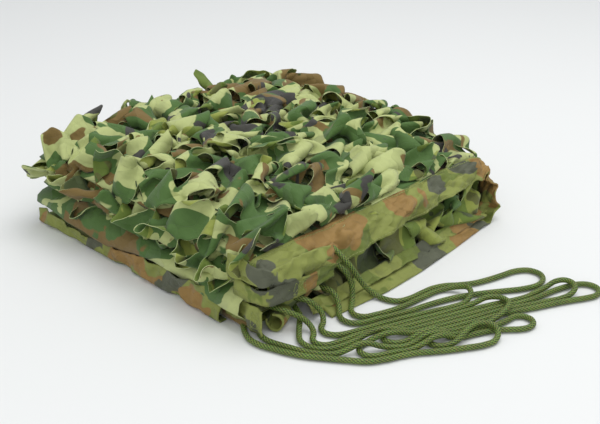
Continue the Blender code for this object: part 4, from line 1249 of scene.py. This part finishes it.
def corner_roll():
    """Five sixths of a turn of tape round a level axis; the radius narrows as it
    turns and wanders along the roll."""
    axis = np.array([0.451, -0.892, 0.0])
    axis /= np.linalg.norm(axis)
    level = np.cross(axis, (0.0, 0.0, 1.0))
    along = np.linspace(0, ROLL_LENGTH, 14)
    turn = np.radians(ROLL_START + ROLL_TURN * np.linspace(0, 1, 40))
    radius = ROLL_RADIUS * (1 - 0.06 * np.linspace(0, 1, 40))[None, :]
    radius = radius * (1 + 0.05 * np.sin(3 * turn[None, :] + along[:, None] * 220))
    centre = np.array([0.1600, -0.1490, 0.0089]) - axis * along[:, None]
    spoke = level * np.cos(turn)[:, None] + np.array([0, 0, 1.0]) * np.sin(turn)[:, None]
    points = centre[:, None] + radius[..., None] * spoke[None]
    piece = tape_piece(
        "corner_roll_tape", points, along, turn * ROLL_RADIUS, ("corner_roll",), 0.0016)


corner_roll()


# ---------------------------------------------------------------------------
# Stitching: short stitches of olive thread. A line of them runs along each edge of the
# side tape, and the middle and the lower tab each have a cross in a box.
# ---------------------------------------------------------------------------
STITCH = 0.0026
STITCH_GAP = 0.0009
THREAD_DIAMETER = 0.0006
thread_material, *_, thread_shader = new_material("thread", 0.6)
thread_shader.inputs["Base Color"].default_value = srgb(148, 158, 92)


def stitches_on(surface, thickness, marks):
    """Stitches along straight marks on a grid of points, each mark from one place to
    another in shares of the grid's length and width."""
    along_way = np.gradient(surface, axis=0)
    across_way = np.gradient(surface, axis=1)
    normal = np.cross(along_way, across_way)
    normal /= np.linalg.norm(normal, axis=-1)[..., None]
    raised = surface + normal * (thickness / 2 + THREAD_DIAMETER * 0.3)
    rows, columns = surface.shape[:2]
    lines = []
    for start, end in marks:
        share = np.linspace(0, 1, 400)[:, None]
        place = (np.array(start) + (np.array(end) - start) * share) * (rows - 1, columns - 1)
        low = np.minimum(place.astype(int), (rows - 2, columns - 2))
        part = place - low
        i, j = low.T
        p, q = part.T[..., None]
        line = (
            raised[i, j] * (1 - p) * (1 - q) + raised[i + 1, j] * p * (1 - q)
            + raised[i, j + 1] * (1 - p) * q + raised[i + 1, j + 1] * p * q)
        line, along = even_steps(line, STITCH / 3)
        period = round((STITCH + STITCH_GAP) / (along[1] - along[0]))
        lines += [line[first:first + 4] for first in range(0, len(line) - 4, period)]
    return lines


def cross_in_box(along, across, half_along, half_across):
    """The four sides and two diagonals of a box round a place."""
    a, b = along - half_along, along + half_along
    c, d = across - half_across, across + half_across
    return (
        ((a, c), (b, c)), ((b, c), (b, d)), ((b, d), (a, d)), ((a, d), (a, c)),
        ((a, c), (b, d)), ((a, d), (b, c)),
    )


stitch_lines = stitches_on(
    side_surface, TAPE_THICKNESS, (((0.0, 0.10), (1.0, 0.10)), ((0.0, 0.95), (1.0, 0.95))))
stitch_lines += stitches_on(
    tabs["corner_tab_middle"], TAB_THICKNESS, cross_in_box(0.62, 0.5, 0.055, 0.34))
stitch_lines += stitches_on(
    tabs["corner_tab_lower"], TAB_THICKNESS, cross_in_box(0.86, 0.5, 0.11, 0.30))
stitch_points, stitch_faces = tubes(stitch_lines, THREAD_DIAMETER, sides=5)
add_piece(
    "tape_stitches", stitch_points, stitch_faces, (thread_material,),
    replaces=("side_binding",))


# ---------------------------------------------------------------------------
# Floor and light: a level sheet of pale matt paper, a pale room, a large soft light
# overhead and a weaker fill.
# ---------------------------------------------------------------------------
FLOOR_HALF_WIDTH = 6
FLOOR_LEVEL = -0.0004
paper, *_, paper_shader = new_material("floor", 0.9)
paper_shader.inputs["Base Color"].default_value = srgb(228, 229, 228)
floor_data = bpy.data.meshes.new("floor")
floor_data.from_pydata(
    [(x * FLOOR_HALF_WIDTH, y * FLOOR_HALF_WIDTH, FLOOR_LEVEL)
     for x, y in ((-1, -1), (1, -1), (1, 1), (-1, 1))], [], [(0, 1, 2, 3)])
floor_data.materials.append(paper)
floor = bpy.data.objects.new("floor", floor_data)
bpy.context.collection.objects.link(floor)

world = bpy.data.worlds.new("studio")
bpy.context.scene.world = world
world.use_nodes = True
world.node_tree.nodes["Background"].inputs["Color"].default_value = srgb(236, 238, 240)
world.node_tree.nodes["Background"].inputs["Strength"].default_value = 0.80

# One row for each light: where it is, its width in metres and its power in watts.
LIGHTS = (
    ("overhead", (0.30, 0.25, 1.7), 1.5, 18),
    ("front_fill", (1.2, -1.4, 1.1), 1.4, 5),
)
for light_name, light_place, light_width, light_power in LIGHTS:
    light_data = bpy.data.lights.new(light_name, "AREA")
    light_data.size = light_width
    light_data.energy = light_power
    light = bpy.data.objects.new(light_name, light_data)
    light.location = light_place
    aim = CAMERA_TARGET - light.location
    light.rotation_mode = "QUATERNION"
    light.rotation_quaternion = aim.to_track_quat("-Z", "Y")
    bpy.context.collection.objects.link(light)

bpy.context.scene.view_settings.view_transform = "Standard"
